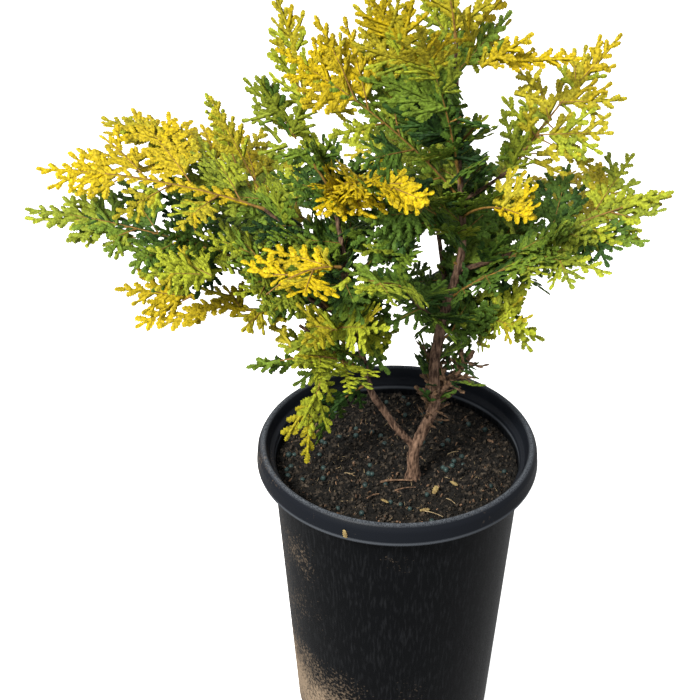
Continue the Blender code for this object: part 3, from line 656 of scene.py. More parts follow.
# Leaf colours from the deepest shade in the crown to the sunlit gold, each with its record slot
LeafColour = namedtuple("LeafColour", "name slot colour")
LEAF_COLOURS = (
    LeafColour("deep_green", "leaf_deep", (0.012, 0.033, 0.009)),
    LeafColour("dark_green", "leaf_deep", (0.026, 0.063, 0.012)),
    LeafColour("green", "leaf_green", (0.056, 0.107, 0.014)),
    LeafColour("mid_green", "leaf_green", (0.106, 0.166, 0.017)),
    LeafColour("olive", "leaf_lime", (0.176, 0.216, 0.019)),
    LeafColour("lime", "leaf_lime", (0.255, 0.290, 0.019)),
    LeafColour("old_gold", "leaf_gold", (0.295, 0.256, 0.014)),
    LeafColour("gold", "leaf_gold", (0.345, 0.264, 0.008)),
    LeafColour("bright_gold", "leaf_gold", (0.405, 0.298, 0.005)),
)
LEAF_LIGHT = 1.2
LEAF_DARK = 0.5
LEAF_SHEEN = 0.12
MATT = 0.25

# Finishes: light and dark tone, scale of the grain, where it goes over from one to the other, roughness
# of each, strength and depth of the bump, how the grain is stretched, and sheen
Finish = namedtuple(
    "Finish",
    "light dark scale low high rough_light rough_dark bump depth stretch sheen",
    defaults=(EVEN, MATT),
)
FINISHES = {
    "trunk_bark": Finish(
        (0.205, 0.125, 0.084), (0.026, 0.013, 0.008), 560.0, 0.36, 0.66, 0.75, 0.92, 0.9, 0.8, (1.0, 1.0, 0.3)
    ),
    "bough_bark": Finish((0.15, 0.086, 0.052), (0.026, 0.015, 0.009), 560.0, 0.34, 0.66, 0.7, 0.9, 0.6, 0.4),
    "young_bark": Finish((0.27, 0.150, 0.032), (0.085, 0.048, 0.012), 520.0, 0.3, 0.7, 0.6, 0.8, 0.4, 0.3),
    "dried_scale": Finish((0.17, 0.10, 0.055), (0.022, 0.014, 0.008), 480.0, 0.34, 0.66, 0.75, 0.9, 0.5, 0.5),
    "potting_mix": Finish(
        (0.014, 0.011, 0.008), (0.002, 0.0018, 0.0015), 560.0, 0.36, 0.70, 0.85, 0.95, 1.0, 1.4
    ),
    "dark_crumb": Finish(
        (0.052, 0.040, 0.029), (0.0018, 0.0017, 0.0015), 300.0, 0.46, 0.66, 0.8, 0.95, 0.9, 0.8
    ),
    "bark_chip": Finish(
        (0.20, 0.120, 0.072), (0.030, 0.018, 0.012), 420.0, 0.34, 0.66, 0.75, 0.9, 0.6, 0.5, (1.0, 0.4, 1.0)
    ),
    "feed_bead": Finish((0.030, 0.056, 0.053), (0.005, 0.014, 0.015), 260.0, 0.3, 0.7, 0.35, 0.55, 0.25, 0.3),
    "straw": Finish((0.36, 0.28, 0.16), (0.12, 0.08, 0.04), 300.0, 0.3, 0.7, 0.6, 0.8, 0.3, 0.3),
    "leaf_scrap": Finish((0.30, 0.23, 0.09), (0.11, 0.07, 0.03), 420.0, 0.3, 0.7, 0.6, 0.8, 0.4, 0.4),
}
for row in LEAF_COLOURS:
    light, dark = (tuple(part * factor for part in row.colour) for factor in (LEAF_LIGHT, LEAF_DARK))
    leaf = Finish(light, dark, 640.0, 0.34, 0.60, 0.5, 0.66, 0.4, 0.6, EVEN, LEAF_SHEEN)
    FINISHES[f"{row.name}_leaf"] = leaf
PALE_FLOOR = Finish((0.92, 0.92, 0.92), (0.90, 0.90, 0.90), 8.0, 0.3, 0.7, 0.9, 0.95, 0.0, 0.1)

# The photograph's camera
CAMERA_PLACE = Vector((-0.02771, -0.71123, 0.71338))
CAMERA_PITCH = 57.56
LENS = 76.886
SENSOR = 36.0
PHOTO_SIDE = 700

# The studio
FLOOR_REACH = 60.0
FLOOR_GLOW = 0.7
SKY_FROM = -0.35
SKY_TO = 0.5
SKY_BELOW = 0.55
SKY_ABOVE = 1.0
KEY_PLACE = Vector((-0.95, -1.15, 1.6))
KEY_AIM = Vector((0.0, 0.0, 0.30))
KEY_SIZE = 0.45
KEY_POWER = 76.0
KEY_COLOUR = (1.0, 0.96, 0.88)


# ---------------------------------------------------------------- node trees


def kind_of(value):
    """The kind of socket for a value. A socket that starts empty is given by its kind instead."""
    if isinstance(value, str):
        return value
    if isinstance(value, tuple):
        return "Color" if len(value) == 4 else "Vector"
    return "Int" if isinstance(value, int) else "Float"


def new_tree(name, kind, inputs, outputs):
    """A node tree with named inputs and outputs, and the sockets that give its inputs."""
    tree = bpy.data.node_groups.new(name, kind)
    for label, value in inputs.items():
        made = tree.interface.new_socket(label, in_out="INPUT", socket_type=f"NodeSocket{kind_of(value)}")
        if not isinstance(value, str):
            made.default_value = value
    for label, socket in outputs.items():
        tree.interface.new_socket(label, in_out="OUTPUT", socket_type=f"NodeSocket{socket}")
    return tree, tree.nodes.new("NodeGroupInput").outputs


def add(tree, kind, sockets=None, **settings):
    """Adds a node and gives its outputs. A socket given as an output is linked, and any other is set."""
    made = tree.nodes.new(kind)
    for name, value in settings.items():
        setattr(made, name, value)
    for key, value in (sockets or {}).items():
        if isinstance(value, bpy.types.NodeSocket):
            tree.links.new(value, made.inputs[key])
        else:
            made.inputs[key].default_value = value
    return made.outputs


def maths(tree, operation, *values):
    """The output of a Math node on the values, each a number or a socket."""
    return add(tree, "ShaderNodeMath", dict(enumerate(values)), operation=operation)[0]


def times(tree, first, *others):
    for other in others:
        first = maths(tree, "MULTIPLY", first, other)
    return first


def vector_of(tree, *parts):
    return add(tree, "ShaderNodeCombineXYZ", dict(enumerate(parts)))[0]


def scaled(tree, vector, factor):
    return add(tree, "ShaderNodeVectorMath", {0: vector, 3: factor}, operation="SCALE")[0]


def stretched(tree, vector, stretch):
    return add(tree, "ShaderNodeVectorMath", {0: vector, 1: stretch}, operation="MULTIPLY")[0]


def cloud(tree, place, scale, detail, **more):
    return add(tree, "ShaderNodeTexNoise", {"Vector": place, "Scale": scale, "Detail": detail, **more})[0]


def mapped(tree, value, low=0.0, high=1.0, to_low=0.0, to_high=1.0):
    """The value carried over from between low and high to between the other two, and held there."""
    limits = {"Value": value, "From Min": low, "From Max": high, "To Min": to_low, "To Max": to_high}
    return add(tree, "ShaderNodeMapRange", limits)[0]


def mixed(tree, share, below, above):
    """The first colour where the share is 0 and the second where it is 1, each a socket or three parts."""
    below, above = ((*end, 1.0) if isinstance(end, tuple) else end for end in (below, above))
    return add(tree, "ShaderNodeMix", {"Factor": share, 6: below, 7: above}, data_type="RGBA")[2]


def random_between(tree, low, high, seed, shift=0.0):
    """A random number for each element. The shift moves the seed on, for draws that differ."""
    if shift:
        seed = maths(tree, "ADD", seed, shift)
    return add(tree, "FunctionNodeRandomValue", {2: low, 3: high, 8: seed}, data_type="FLOAT")[1]


def random_turn(tree, most, seed):
    """A rotation by up to most radians about each axis."""
    least = times(tree, most, -1.0)
    turns = [random_between(tree, least, most, seed, TURN_SHIFT * axis) for axis in range(3)]
    return add(tree, "FunctionNodeEulerToRotation", {"Euler": vector_of(tree, *turns)})[0]


def turned_by(tree, rotation, turn):
    sockets = {"Rotation": rotation, "Rotate By": turn}
    return add(tree, "FunctionNodeRotateRotation", sockets, rotation_space="LOCAL")[0]


def attribute(tree, name, kind="FLOAT"):
    return add(tree, "GeometryNodeInputNamedAttribute", {"Name": name}, data_type=kind)[0]


def curves(tree, mesh, step):
    """The mesh's lines as curves, as they are and with a point at each step."""
    lines = add(tree, "GeometryNodeMeshToCurve", {"Mesh": mesh})[0]
    return lines, add(tree, "GeometryNodeResampleCurve", {"Curve": lines, "Length": step}, mode="LENGTH")[0]


def circle(tree, sides):
    return add(tree, "GeometryNodeCurvePrimitiveCircle", {"Resolution": sides, "Radius": 1.0})[0]


def swept(tree, curve, profile, scale):
    sockets = {"Curve": curve, "Profile Curve": profile, "Scale": scale, "Fill Caps": True}
    return add(tree, "GeometryNodeCurveToMesh", sockets)[0]


def moved(tree, geometry, offset):
    return add(tree, "GeometryNodeSetPosition", {"Geometry": geometry, "Offset": offset})[0]


def set_out(tree, given, points, shapes, **more):
    """One of the shapes in a collection on each point, picked at random."""
    children = {"Collection": given[shapes], "Separate Children": True, "Reset Children": True}
    pick = maths(tree, "FLOOR", random_between(tree, 0.0, SHAPES - 0.01, given["Seed"], PICK_SHIFT))
    sockets = {
        "Points": points,
        "Instance": add(tree, "GeometryNodeCollectionInfo", children)[0],
        "Pick Instance": True,
        "Instance Index": pick,
        **more,
    }
    return add(tree, "GeometryNodeInstanceOnPoints", sockets)[0]


def close_tree(tree, given, geometry):
    """Realizes the instances, gives them the material and sends them out."""
    real = add(tree, "GeometryNodeRealizeInstances", {"Geometry": geometry})[0]
    done = add(tree, "GeometryNodeSetMaterial", {"Geometry": real, "Material": given["Material"]})[0]
    add(tree, "NodeGroupOutput", {0: done})
    return tree


def leafy_twig_tree():
    """Branchlets set alternately along each twig, one at its tip, and the twig itself."""
    inputs = {
        "Twigs": "Geometry",
        "Branchlets": "Collection",
        "Pitch": BRANCHLET_PITCH * MM,
        "Width": BRANCHLET_WIDTH * MM,
        "Least Width": BRANCHLET_LEAST_WIDTH * MM,
        "Width Share": BRANCHLET_WIDTH_SHARE,
        "Thickness": BRANCHLET_THICKNESS * MM,
        "Foot Angle": math.radians(BRANCHLET_ANGLE_FOOT),
        "Tip Angle": math.radians(BRANCHLET_ANGLE_TIP),
        "Turn": math.radians(BRANCHLET_TURN),
        "Bare Foot": BARE_FOOT,
        "Tip Shrink": TIP_SHRINK,
        "Sides": LEAFY_TWIG_SIDES,
        "Flatness": LEAFY_TWIG_FLATNESS,
        "Seed": BRANCHLET_SEED,
        "Material": "Material",
    }
    tree, given = new_tree("leafy twigs", "GeometryNodeTree", inputs, {"Leafy Twigs": "Geometry"})
    lines, steps = curves(tree, given["Twigs"], given["Pitch"])
    along = add(tree, "GeometryNodeSplineParameter")
    share = along["Factor"]
    lie = attribute(tree, "lie", "FLOAT_VECTOR")
    axes = {0: lie, 1: add(tree, "GeometryNodeInputTangent")[0]}
    facing = add(tree, "FunctionNodeAxesToRotation", axes, primary_axis="Z", secondary_axis="X")[0]
    hand = maths(tree, "MULTIPLY_ADD", maths(tree, "MODULO", along["Index"], 2.0), 2.0, -1.0)
    spread = mapped(tree, share, to_low=given["Foot Angle"], to_high=given["Tip Angle"])
    turn = times(tree, spread, hand, maths(tree, "LESS_THAN", share, AT_TIP))
    aside = add(tree, "FunctionNodeAxisAngleToRotation", {"Axis": (0, 0, 1), "Angle": turn})[0]
    loose = random_turn(tree, given["Turn"], given["Seed"])
    fall = times(tree, maths(tree, "POWER", share, TIP_FALL), given["Tip Shrink"])
    varied = random_between(tree, BRANCHLET_SHORTEST, BRANCHLET_LONGEST, given["Seed"])
    length = times(tree, maths(tree, "SUBTRACT", 1.0, fall), varied, attribute(tree, "reach"))
    narrow = maths(tree, "MINIMUM", given["Width"], times(tree, length, given["Width Share"]))
    width = maths(tree, "MAXIMUM", given["Least Width"], narrow)
    branchlets = set_out(
        tree,
        given,
        steps,
        "Branchlets",
        Selection=maths(tree, "GREATER_THAN", share, given["Bare Foot"]),
        Rotation=turned_by(tree, turned_by(tree, facing, aside), loose),
        Scale=vector_of(tree, length, width, given["Thickness"]),
    )
    thin = vector_of(tree, given["Flatness"], 1.0, 1.0)
    flat = add(tree, "GeometryNodeTransform", {"Geometry": circle(tree, given["Sides"]), "Scale": thin})[0]
    laid = add(tree, "GeometryNodeSetCurveNormal", {"Curve": lines, "Normal": lie}, mode="FREE")[0]
    taper = maths(tree, "MULTIPLY_ADD", share, -LEAFY_TWIG_TAPER, 1.0)
    blades = swept(tree, laid, flat, times(tree, attribute(tree, "thick"), taper))
    joined = tree.nodes.new("GeometryNodeJoinGeometry")
    tree.links.new(branchlets, joined.inputs[0])
    tree.links.new(blades, joined.inputs[0])
    return close_tree(tree, given, joined.outputs[0])


def bark_tree():
    """A tube along each limb, its surface raised in ridges of bark that run with the limb."""
    inputs = {"Limbs": "Geometry", "Step": 0.0, "Sides": 0, "Relief": 0.0, "Material": "Material"}
    tree, given = new_tree("bark", "GeometryNodeTree", inputs, {"Bark": "Geometry"})
    _, steps = curves(tree, given["Limbs"], given["Step"])
    thick = attribute(tree, "thick")
    tube = swept(tree, steps, circle(tree, given["Sides"]), thick)
    place = add(tree, "GeometryNodeInputPosition")[0]
    run = stretched(tree, place, (RIDGES_ACROSS, RIDGES_ACROSS, RIDGES_ALONG))
    ridges = maths(tree, "SUBTRACT", cloud(tree, run, 1.0, 3.0, Roughness=RIDGE_ROUGHNESS), 0.5)
    lumps = maths(tree, "SUBTRACT", cloud(tree, place, BARK_LUMPS, 1.0), 0.5)
    both = maths(tree, "ADD", ridges, times(tree, lumps, BARK_LUMP_SHARE))
    height = times(tree, times(tree, both, given["Relief"]), times(tree, thick, 2.0))
    raised = moved(tree, tube, scaled(tree, add(tree, "GeometryNodeInputNormal")[0], height))
    return close_tree(tree, given, add(tree, "GeometryNodeSetShadeSmooth", {"Geometry": raised})[0])


def scatter_tree():
    """Loose bits strewn over a surface, each turned and sized at random."""
    inputs = {
        "Surface": "Geometry",
        "Bits": "Collection",
        "Density": 0.0,
        "Smallest": 0.0,
        "Largest": 0.0,
        "Turn": ANY_TURN,
        "Lift": 0.0,
        "Seed": 1,
        "Material": "Material",
    }
    tree, given = new_tree("strewn bits", "GeometryNodeTree", inputs, {"Strewn": "Geometry"})
    sockets = {"Mesh": given["Surface"], "Density": given["Density"], "Seed": given["Seed"]}
    spots = add(tree, "GeometryNodeDistributePointsOnFaces", sockets)
    share = maths(tree, "POWER", random_between(tree, 0.0, 1.0, given["Seed"], SIZE_SHIFT), SIZE_FALL)
    size = mapped(tree, share, to_low=given["Smallest"], to_high=given["Largest"])
    raised = moved(tree, spots["Points"], scaled(tree, spots["Normal"], given["Lift"]))
    turn = random_turn(tree, given["Turn"], given["Seed"])
    bits = set_out(tree, given, raised, "Bits", Rotation=turn, Scale=vector_of(tree, size, size, size))
    return close_tree(tree, given, bits)


def made_whole(piece):
    """The piece's mesh as its modifiers leave it, which takes the place of its own. They are removed."""
    whole = bpy.data.meshes.new_from_object(piece.evaluated_get(bpy.context.evaluated_depsgraph_get()))
    whole.name = piece.name
    piece.modifiers.clear()
    piece.data = whole
    return whole


def grown(name, mesh, tree, values):
    """A piece with the tree's result on the mesh as its own plain mesh."""
    piece = new_object(name, mesh)
    growth = piece.modifiers.new(tree.name, "NODES")
    growth.node_group = tree
    for item in tree.interface.items_tree:
        if item.item_type == "SOCKET" and item.in_out == "INPUT" and item.name in values:
            growth[item.identifier] = values[item.name]
    whole = made_whole(piece)
    for extra in [item.name for item in whole.attributes if item.name in LINE_VALUES]:
        whole.attributes.remove(whole.attributes[extra])
    return piece


# ---------------------------------------------------------------- materials


def grain_group():
    """A mask from 0 to 1 that follows a grain, stretched along one way or even."""
    inputs = {"Scale": 100.0, "Stretch": EVEN, "Detail": 3.0, "Low": 0.35, "High": 0.65}
    tree, given = new_tree("grain", "ShaderNodeTree", inputs, {"Mask": "Float"})
    place = stretched(tree, add(tree, "ShaderNodeTexCoord")["Object"], given["Stretch"])
    grain = cloud(tree, place, given["Scale"], given["Detail"])
    add(tree, "NodeGroupOutput", {0: mapped(tree, grain, given["Low"], given["High"])})
    return tree


def dust_group():
    """Dry specks and smears of soil, thick where Amount is high."""
    inputs = {"Colour": (*POT_BLACK, 1.0), "Dust Colour": (*DRY_SOIL, 1.0), "Amount": 0.0, "Speck Size": 1.0}
    tree, given = new_tree("dust", "ShaderNodeTree", inputs, {"Colour": "Color", "Mask": "Float"})
    place = add(tree, "ShaderNodeTexCoord")["Object"]
    smear = cloud(tree, place, SMEAR_SIZE, 5.0)
    speck = cloud(tree, place, given["Speck Size"], 2.0)
    mask = mapped(tree, times(tree, smear, speck, given["Amount"]), SPECKS_FROM, SPECKS_TO)
    add(tree, "NodeGroupOutput", {0: mixed(tree, mask, given["Colour"], given["Dust Colour"]), 1: mask})
    return tree


def new_material(name):
    made = bpy.data.materials.new(name)
    made.use_nodes = True
    return made, made.node_tree


def finish_material(tree, colour, rough, height, strength, depth, sheen):
    """Leads the colour, the roughness and the bump to the material's shader, and sets its sheen."""
    shader = tree.nodes["Principled BSDF"].inputs
    bump = add(tree, "ShaderNodeBump", {"Height": height, "Strength": strength, "Distance": depth * MM})[0]
    for key, value in (("Base Color", colour), ("Roughness", rough), ("Normal", bump)):
        tree.links.new(value, shader[key])
    shader["Specular IOR Level"].default_value = sheen


def natural_material(name, finish, groups):
    """Two tones of one colour that follow the grain, with the darker tone sunk."""
    made, tree = new_material(name)
    grain = {"Scale": finish.scale, "Stretch": finish.stretch, "Low": finish.low, "High": finish.high}
    mask = add(tree, "ShaderNodeGroup", grain, node_tree=groups["grain"])[0]
    tone = mixed(tree, mask, finish.dark, finish.light)
    rough = mapped(tree, mask, to_low=finish.rough_dark, to_high=finish.rough_light)
    finish_material(tree, tone, rough, mask, finish.bump, finish.depth, finish.sheen)
    return made


def pot_material(groups):
    """Black plastic with upright scuffs, a worn grey lip with painted sheen and highlights, and dried soil
    splashed low on the left.
    """
    made, tree = new_material("pot_plastic")
    place = add(tree, "ShaderNodeSeparateXYZ", {0: add(tree, "ShaderNodeTexCoord")["Object"]})

    def between(axis, low, high):
        return mapped(tree, place[axis], low * MM, high * MM)

    scuff, fine = (
        add(tree, "ShaderNodeGroup", grain, node_tree=groups["grain"])[0] for grain in (SCUFFS, FINE_WEAR)
    )
    lip_foot = POT_HEIGHT - LIP_DEPTH
    # From the lip's foot up the plastic takes a lighter, bluer black, a painted sheen
    sheened_face = between("Z", lip_foot, lip_foot + LIP_FACE)
    plastic = mixed(tree, sheened_face, mixed(tree, scuff, POT_BLACK, SCUFF_BLACK), LIP_SHEEN_BLACK)
    # Worn grey with a painted highlight on the lip's top, and a painted highlight along the lip's lower edge
    worn_and_lit_top = times(tree, between("Z", LIP_WEAR_AND_HIGHLIGHT_FROM, LIP_WEAR_AND_HIGHLIGHT_TO), fine)
    lit_lower_edge = between("Z", lip_foot + EDGE_HIGHLIGHT_TO, lip_foot + EDGE_HIGHLIGHT_FROM)
    wear_and_highlight = maths(tree, "MAXIMUM", worn_and_lit_top, times(tree, sheened_face, lit_lower_edge, EDGE_HIGHLIGHT))
    side = times(tree, between("X", *DUST_ACROSS), between("Y", *DUST_DEPTHWAYS))
    splash = maths(tree, "MULTIPLY_ADD", between("Z", DUST_FROM, DUST_TO), DUST_LOW, DUST_HIGH)
    sockets = {
        "Colour": mixed(tree, wear_and_highlight, plastic, WORN_AND_HIGHLIGHT_GREY),
        "Dust Colour": (*DRY_SOIL, 1.0),
        "Amount": maths(tree, "ADD", times(tree, splash, side), DUST_EVERYWHERE),
        "Speck Size": SPECK_SIZE,
    }
    dusty = add(tree, "ShaderNodeGroup", sockets, node_tree=groups["dust"])
    rough = maths(tree, "MULTIPLY_ADD", fine, ROUGH_WEAR, POT_ROUGH)
    rough = maths(tree, "ADD", rough, times(tree, dusty["Mask"], ROUGH_DUST))
    height = maths(tree, "MULTIPLY_ADD", scuff, 0.5, fine)
    finish_material(tree, dusty["Colour"], rough, height, POT_BUMP, POT_BUMP_DEPTH, POT_SHEEN)
    return made


# ---------------------------------------------------------------- meshes


def new_object(name, mesh):
    made = bpy.data.objects.new(name, mesh)
    bpy.context.scene.collection.objects.link(made)
    return made


def mesh_from(bm, name):
    mesh = bpy.data.meshes.new(name)
    bm.to_mesh(mesh)
    bm.free()
    return mesh


def lines_mesh(name, courses):
    """Open lines in metres. A course is points in millimetres with values for each."""
    mesh = bpy.data.meshes.new(name)
    points, edges = [], []
    for course in courses:
        first = len(points)
        points += [point * MM for point in course["points"]]
        edges += [(i, i + 1) for i in range(first, len(points) - 1)]
    mesh.from_pydata(points, edges, [])
    for key, kind in LINE_VALUES.items():
        if key not in courses[0]:
            continue
        layer = mesh.attributes.new(key, kind, "POINT")
        values = [value for course in courses for value in course[key]]
        if kind == "FLOAT":
            layer.data.foreach_set("value", [value * MM for value in values])
        else:
            layer.data.foreach_set("vector", [part for value in values for part in value])
    return mesh


def turned(name, profile, sides):
    """A closed turned mesh. The profile, in millimetres, starts and ends on the axis."""
    bm = bmesh.new()
    rings = []
    for radius, height in profile:
        turns = [math.tau * k / sides for k in range(sides if radius else 1)]
        corners = [Vector((radius * math.cos(turn), radius * math.sin(turn), height)) for turn in turns]
        rings.append([bm.verts.new(corner * MM) for corner in corners])
    for lower, upper in zip(rings, rings[1:]):
        for k in range(sides):
            pairs = ((lower, k), (lower, k + 1), (upper, k + 1), (upper, k))
            bm.faces.new(dict.fromkeys(ring[i % len(ring)] for ring, i in pairs))
    bmesh.ops.recalc_face_normals(bm, faces=bm.faces)
    return mesh_from(bm, name)


def wall_radius(drop):
    """The wall's outer radius at a drop below the rim's top."""
    return WALL_RADIUS - WALL_TAPER * (drop - LIP_DEPTH)


def inner_radius(drop):
    """The wall's inner radius below the ledge, at a drop below the rim's top."""
    foot_drop = POT_HEIGHT - FLOOR
    foot = wall_radius(foot_drop) - WALL
    share = (drop - INNER_TOP_DROP) / (foot_drop - INNER_TOP_DROP)
    return INNER_TOP_RADIUS + (foot - INNER_TOP_RADIUS) * share


def rounded(section):
    """The section with each corner between its ends turned into a short curve."""
    points = [Vector(point) for point in section]
    soft = [points[0]]
    for before, corner, after in zip(points, points[1:], points[2:]):
        start, end = (
            corner + way.normalized() * min(ROUNDING, way.length * ROUNDING_SHARE)
            for way in (before - corner, after - corner)
        )
        for step in range(ROUNDING_STEPS + 1):
            share = step / ROUNDING_STEPS
            soft.append(start.lerp(corner, share).lerp(corner.lerp(end, share), share))
    return [*soft, points[-1]]


def pot_section():
    """The wall with its rolled lip, a channel open downwards behind the lip, and a ledge inside it."""
    foot = wall_radius(POT_HEIGHT)
    section = [
        (0, POT_HEIGHT),
        (foot - FOOT_EDGE, POT_HEIGHT),
        (foot, POT_HEIGHT - FOOT_EDGE),
        (wall_radius(LIP_DEPTH), LIP_DEPTH),
        *[(LIP_RADIUS - inward, drop) for inward, drop in UNDER_LIP + OVER_LIP],
        (INNER_TOP_RADIUS, INNER_TOP_DROP),
        (inner_radius(POT_HEIGHT - FLOOR), POT_HEIGHT - FLOOR),
        (0, POT_HEIGHT - FLOOR),
    ]
    return [(radius, POT_HEIGHT - drop) for radius, drop in rounded(section)]


def make_pot(groups):
    """The turned pot with its drain holes cut through the wall just above the floor."""
    pot = new_object("nursery_pot", turned("nursery_pot", pot_section(), POT_SIDES))
    out = wall_radius(POT_HEIGHT) * MM
    bm = bmesh.new()
    for index in range(DRAIN_HOLES):
        turn = math.tau * (index + 0.5) / DRAIN_HOLES
        place = Matrix.Translation((out * math.cos(turn), out * math.sin(turn), DRAIN_HEIGHT * MM))
        place = place @ Matrix.Rotation(turn, 4, "Z") @ Matrix.Rotation(math.pi / 2, 4, "Y")
        bmesh.ops.create_cone(
            bm,
            cap_ends=True,
            segments=DRAIN_SIDES,
            radius1=DRAIN_RADIUS * MM,
            radius2=DRAIN_RADIUS * MM,
            depth=DRAIN_CUT * MM,
            matrix=place,
        )
    cutter = new_object("drain_cutter", mesh_from(bm, "drain_cutter"))
    pot.modifiers.new("drain holes", "BOOLEAN").object = cutter
    whole = made_whole(pot)
    bpy.data.objects.remove(cutter)
    whole.materials.clear()
    whole.materials.append(pot_material(groups))
    whole.shade_smooth()
    whole.set_sharp_from_angle(angle=math.radians(SMOOTH_POT))
    keep(pot, "pot", "pot")


def keep(piece, slot, *nodes):
    """Rides a finished piece on the plant's one body and hides the solids it stands in for."""
    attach(piece, "root")
    if nodes:
        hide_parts(*nodes)
    piece.data.calc_loop_triangles()
    print(f"{piece.name}: {len(piece.data.loop_triangles)} triangles")


def soil_height(x, y):
    """How far the potting mix stands above its level at a place, in millimetres."""
    lumps = noise.noise(Vector((x / LUMP_SIZE, y / LUMP_SIZE, LUMP_SLICE)))
    grit = noise.noise(Vector((x / GRIT_SIZE, y / GRIT_SIZE, GRIT_SLICE)))
    return LUMP_HEIGHT * (lumps - LUMP_SINK) + GRIT_HEIGHT * grit


def make_soil(finishes):
    """The potting mix, lumpy on top."""
    rim = inner_radius(POT_HEIGHT - SOIL_LEVEL) - GAP
    floor = SOIL_LEVEL - SOIL_DEPTH
    profile = [(0, floor), (inner_radius(POT_HEIGHT - floor) - GAP, floor)]
    profile += [(rim * (SOIL_RINGS - i) / SOIL_RINGS, SOIL_LEVEL) for i in range(SOIL_RINGS + 1)]
    mesh = turned("potting_mix", profile, SOIL_SIDES)
    for corner in mesh.vertices:
        if corner.co.z > (SOIL_LEVEL - 1) * MM:
            corner.co.z += soil_height(corner.co.x / MM, corner.co.y / MM) * MM
    mesh.shade_smooth()
    mesh.materials.append(finishes["potting_mix"])
    keep(new_object("potting_mix", mesh), "soil", "soil")


def crumb(name, seed, row):
    """One irregular crumb of a kind of strewn bits, about a unit across."""
    rng = random.Random(seed)
    bm = bmesh.new()
    bmesh.ops.create_icosphere(bm, subdivisions=row.detail, radius=0.5)
    for corner in bm.verts:
        corner.co *= 1 + rng.uniform(-row.rough, row.rough)
        corner.co = Vector(a * b for a, b in zip(corner.co, row.stretch))
    bmesh.ops.recalc_face_normals(bm, faces=bm.faces)
    return mesh_from(bm, name)


def collection_of(name, meshes):
    """A collection of loose shapes for a tree to pick from. It is removed once used."""
    group = bpy.data.collections.new(name)
    bpy.context.scene.collection.children.link(group)
    for mesh in meshes:
        group.objects.link(bpy.data.objects.new(mesh.name, mesh))
    return group


def drop(group):
    for made in list(group.objects):
        bpy.data.objects.remove(made)
    bpy.data.collections.remove(group)


def strewn_surface(inset):
    """The open face of the potting mix, to strew things over."""
    bm = bmesh.new()
    rim = inner_radius(POT_HEIGHT - SOIL_LEVEL) - inset
    rows = []
    for ring in range(1, STREWN_RINGS + 1):
        radius = rim * ring / STREWN_RINGS
        row = []
        for k in range(STREWN_SIDES):
            x = radius * math.cos(math.tau * k / STREWN_SIDES)
            y = radius * math.sin(math.tau * k / STREWN_SIDES)
            row.append(bm.verts.new((x * MM, y * MM, (SOIL_LEVEL + soil_height(x, y)) * MM)))
        rows.append(row)
    centre = bm.verts.new((0, 0, (SOIL_LEVEL + soil_height(0, 0)) * MM))
    for k in range(STREWN_SIDES):
        after = (k + 1) % STREWN_SIDES
        bm.faces.new((centre, rows[0][k], rows[0][after]))
        for inner, outer in zip(rows, rows[1:]):
            bm.faces.new((inner[k], outer[k], outer[after], inner[after]))
    return mesh_from(bm, "strewn_surface")


def make_strewn(tree, finishes):
    """The crumbs, chips, fibres and beads strewn over the potting mix."""
    for row in STREWN:
        shapes = [crumb(f"{row.name}_{i}", row.seed * 10 + i, row) for i in range(SHAPES)]
        group = collection_of(f"{row.name}_shapes", shapes)
        values = {
            "Bits": group,
            "Density": row.density,
            "Smallest": row.smallest * MM,
            "Largest": row.largest * MM,
            "Lift": row.lift * MM,
            "Seed": row.seed,
            "Material": finishes[row.finish],
        }
        piece = grown(row.name, strewn_surface(row.inset), tree, values)
        if row.detail > 1:
            piece.data.shade_smooth()
        keep(piece, "soil", "soil")
        drop(group)


def make_fallen(trees, finishes):
    """Small twigs and straws on the potting mix, and fallen leaf scraps on it and on the lip."""
    for finish in ("bark_chip", "straw"):
        courses = []
        for stick in (row for row in STICKS if row.finish == finish):
            course = {"points": [], "thick": []}
            for step in range(STICK_POINTS):
                share = step / (STICK_POINTS - 1)
                x = stick.x + (stick.to_x - stick.x) * share
                y = stick.y + (stick.to_y - stick.y) * share + STICK_BOW * math.sin(math.pi * share)
                ground = SOIL_LEVEL + max(0.0, soil_height(x, y))
                course["points"].append(Vector((x, y, ground + stick.radius + STICK_LIFT)))
                course["thick"].append(stick.radius * (1 - STICK_TAPER * share))
            courses.append(course)
        values = {"Material": finishes[finish], **STICK_BARK}
        keep(grown(f"fallen_{finish}", lines_mesh(finish, courses), trees["bark"], values), "soil", "soil")
    bm = bmesh.new()
    for scrap in SCRAPS:
        leaf = branchlet_mesh("scrap", *BRANCHLET_SHAPES[0])
        up = Vector(scrap.faces).normalized()
        along = Vector(scrap.points)
        along = (along - up * along.dot(up)).normalized()
        turn = Matrix((along, up.cross(along), up)).transposed().to_4x4()
        size = Matrix.Diagonal((scrap.length, scrap.length * SCRAP_WIDTH_SHARE, SCRAP_THICKNESS, 1))
        leaf.transform(Matrix.Scale(MM, 4) @ Matrix.Translation(scrap[:3]) @ turn @ size)
        bm.from_mesh(leaf)
        bpy.data.meshes.remove(leaf)
    mesh = mesh_from(bm, "leaf_scraps")
    mesh.materials.append(finishes["leaf_scrap"])
    keep(new_object("leaf_scraps", mesh), "leaf_gold")


# ---------------------------------------------------------------- growth, as in the part's source


def heading(azimuth, rise):
    turn, lift = math.radians(azimuth), math.radians(rise)
    return Vector((math.cos(turn) * math.cos(lift), math.sin(turn) * math.cos(lift), math.sin(lift)))


def smooth_course(rows, steps):
    """Points of a smooth curve through the rows, each a point with a radius after it."""
    rows = [Vector(row) for row in rows]
    ends = [rows[0] * 2 - rows[1], *rows, rows[-1] * 2 - rows[-2]]
    course = []
    for a, b, c, d in zip(ends, ends[1:], ends[2:], ends[3:]):
        for step in range(steps):
            t = step / steps
            cubic = (b * 3 - a - c * 3 + d) * t * t * t
            course.append((b * 2 + (c - a) * t + (a * 2 - b * 5 + c * 4 - d) * t * t + cubic) / 2)
    return [*course, rows[-1]]


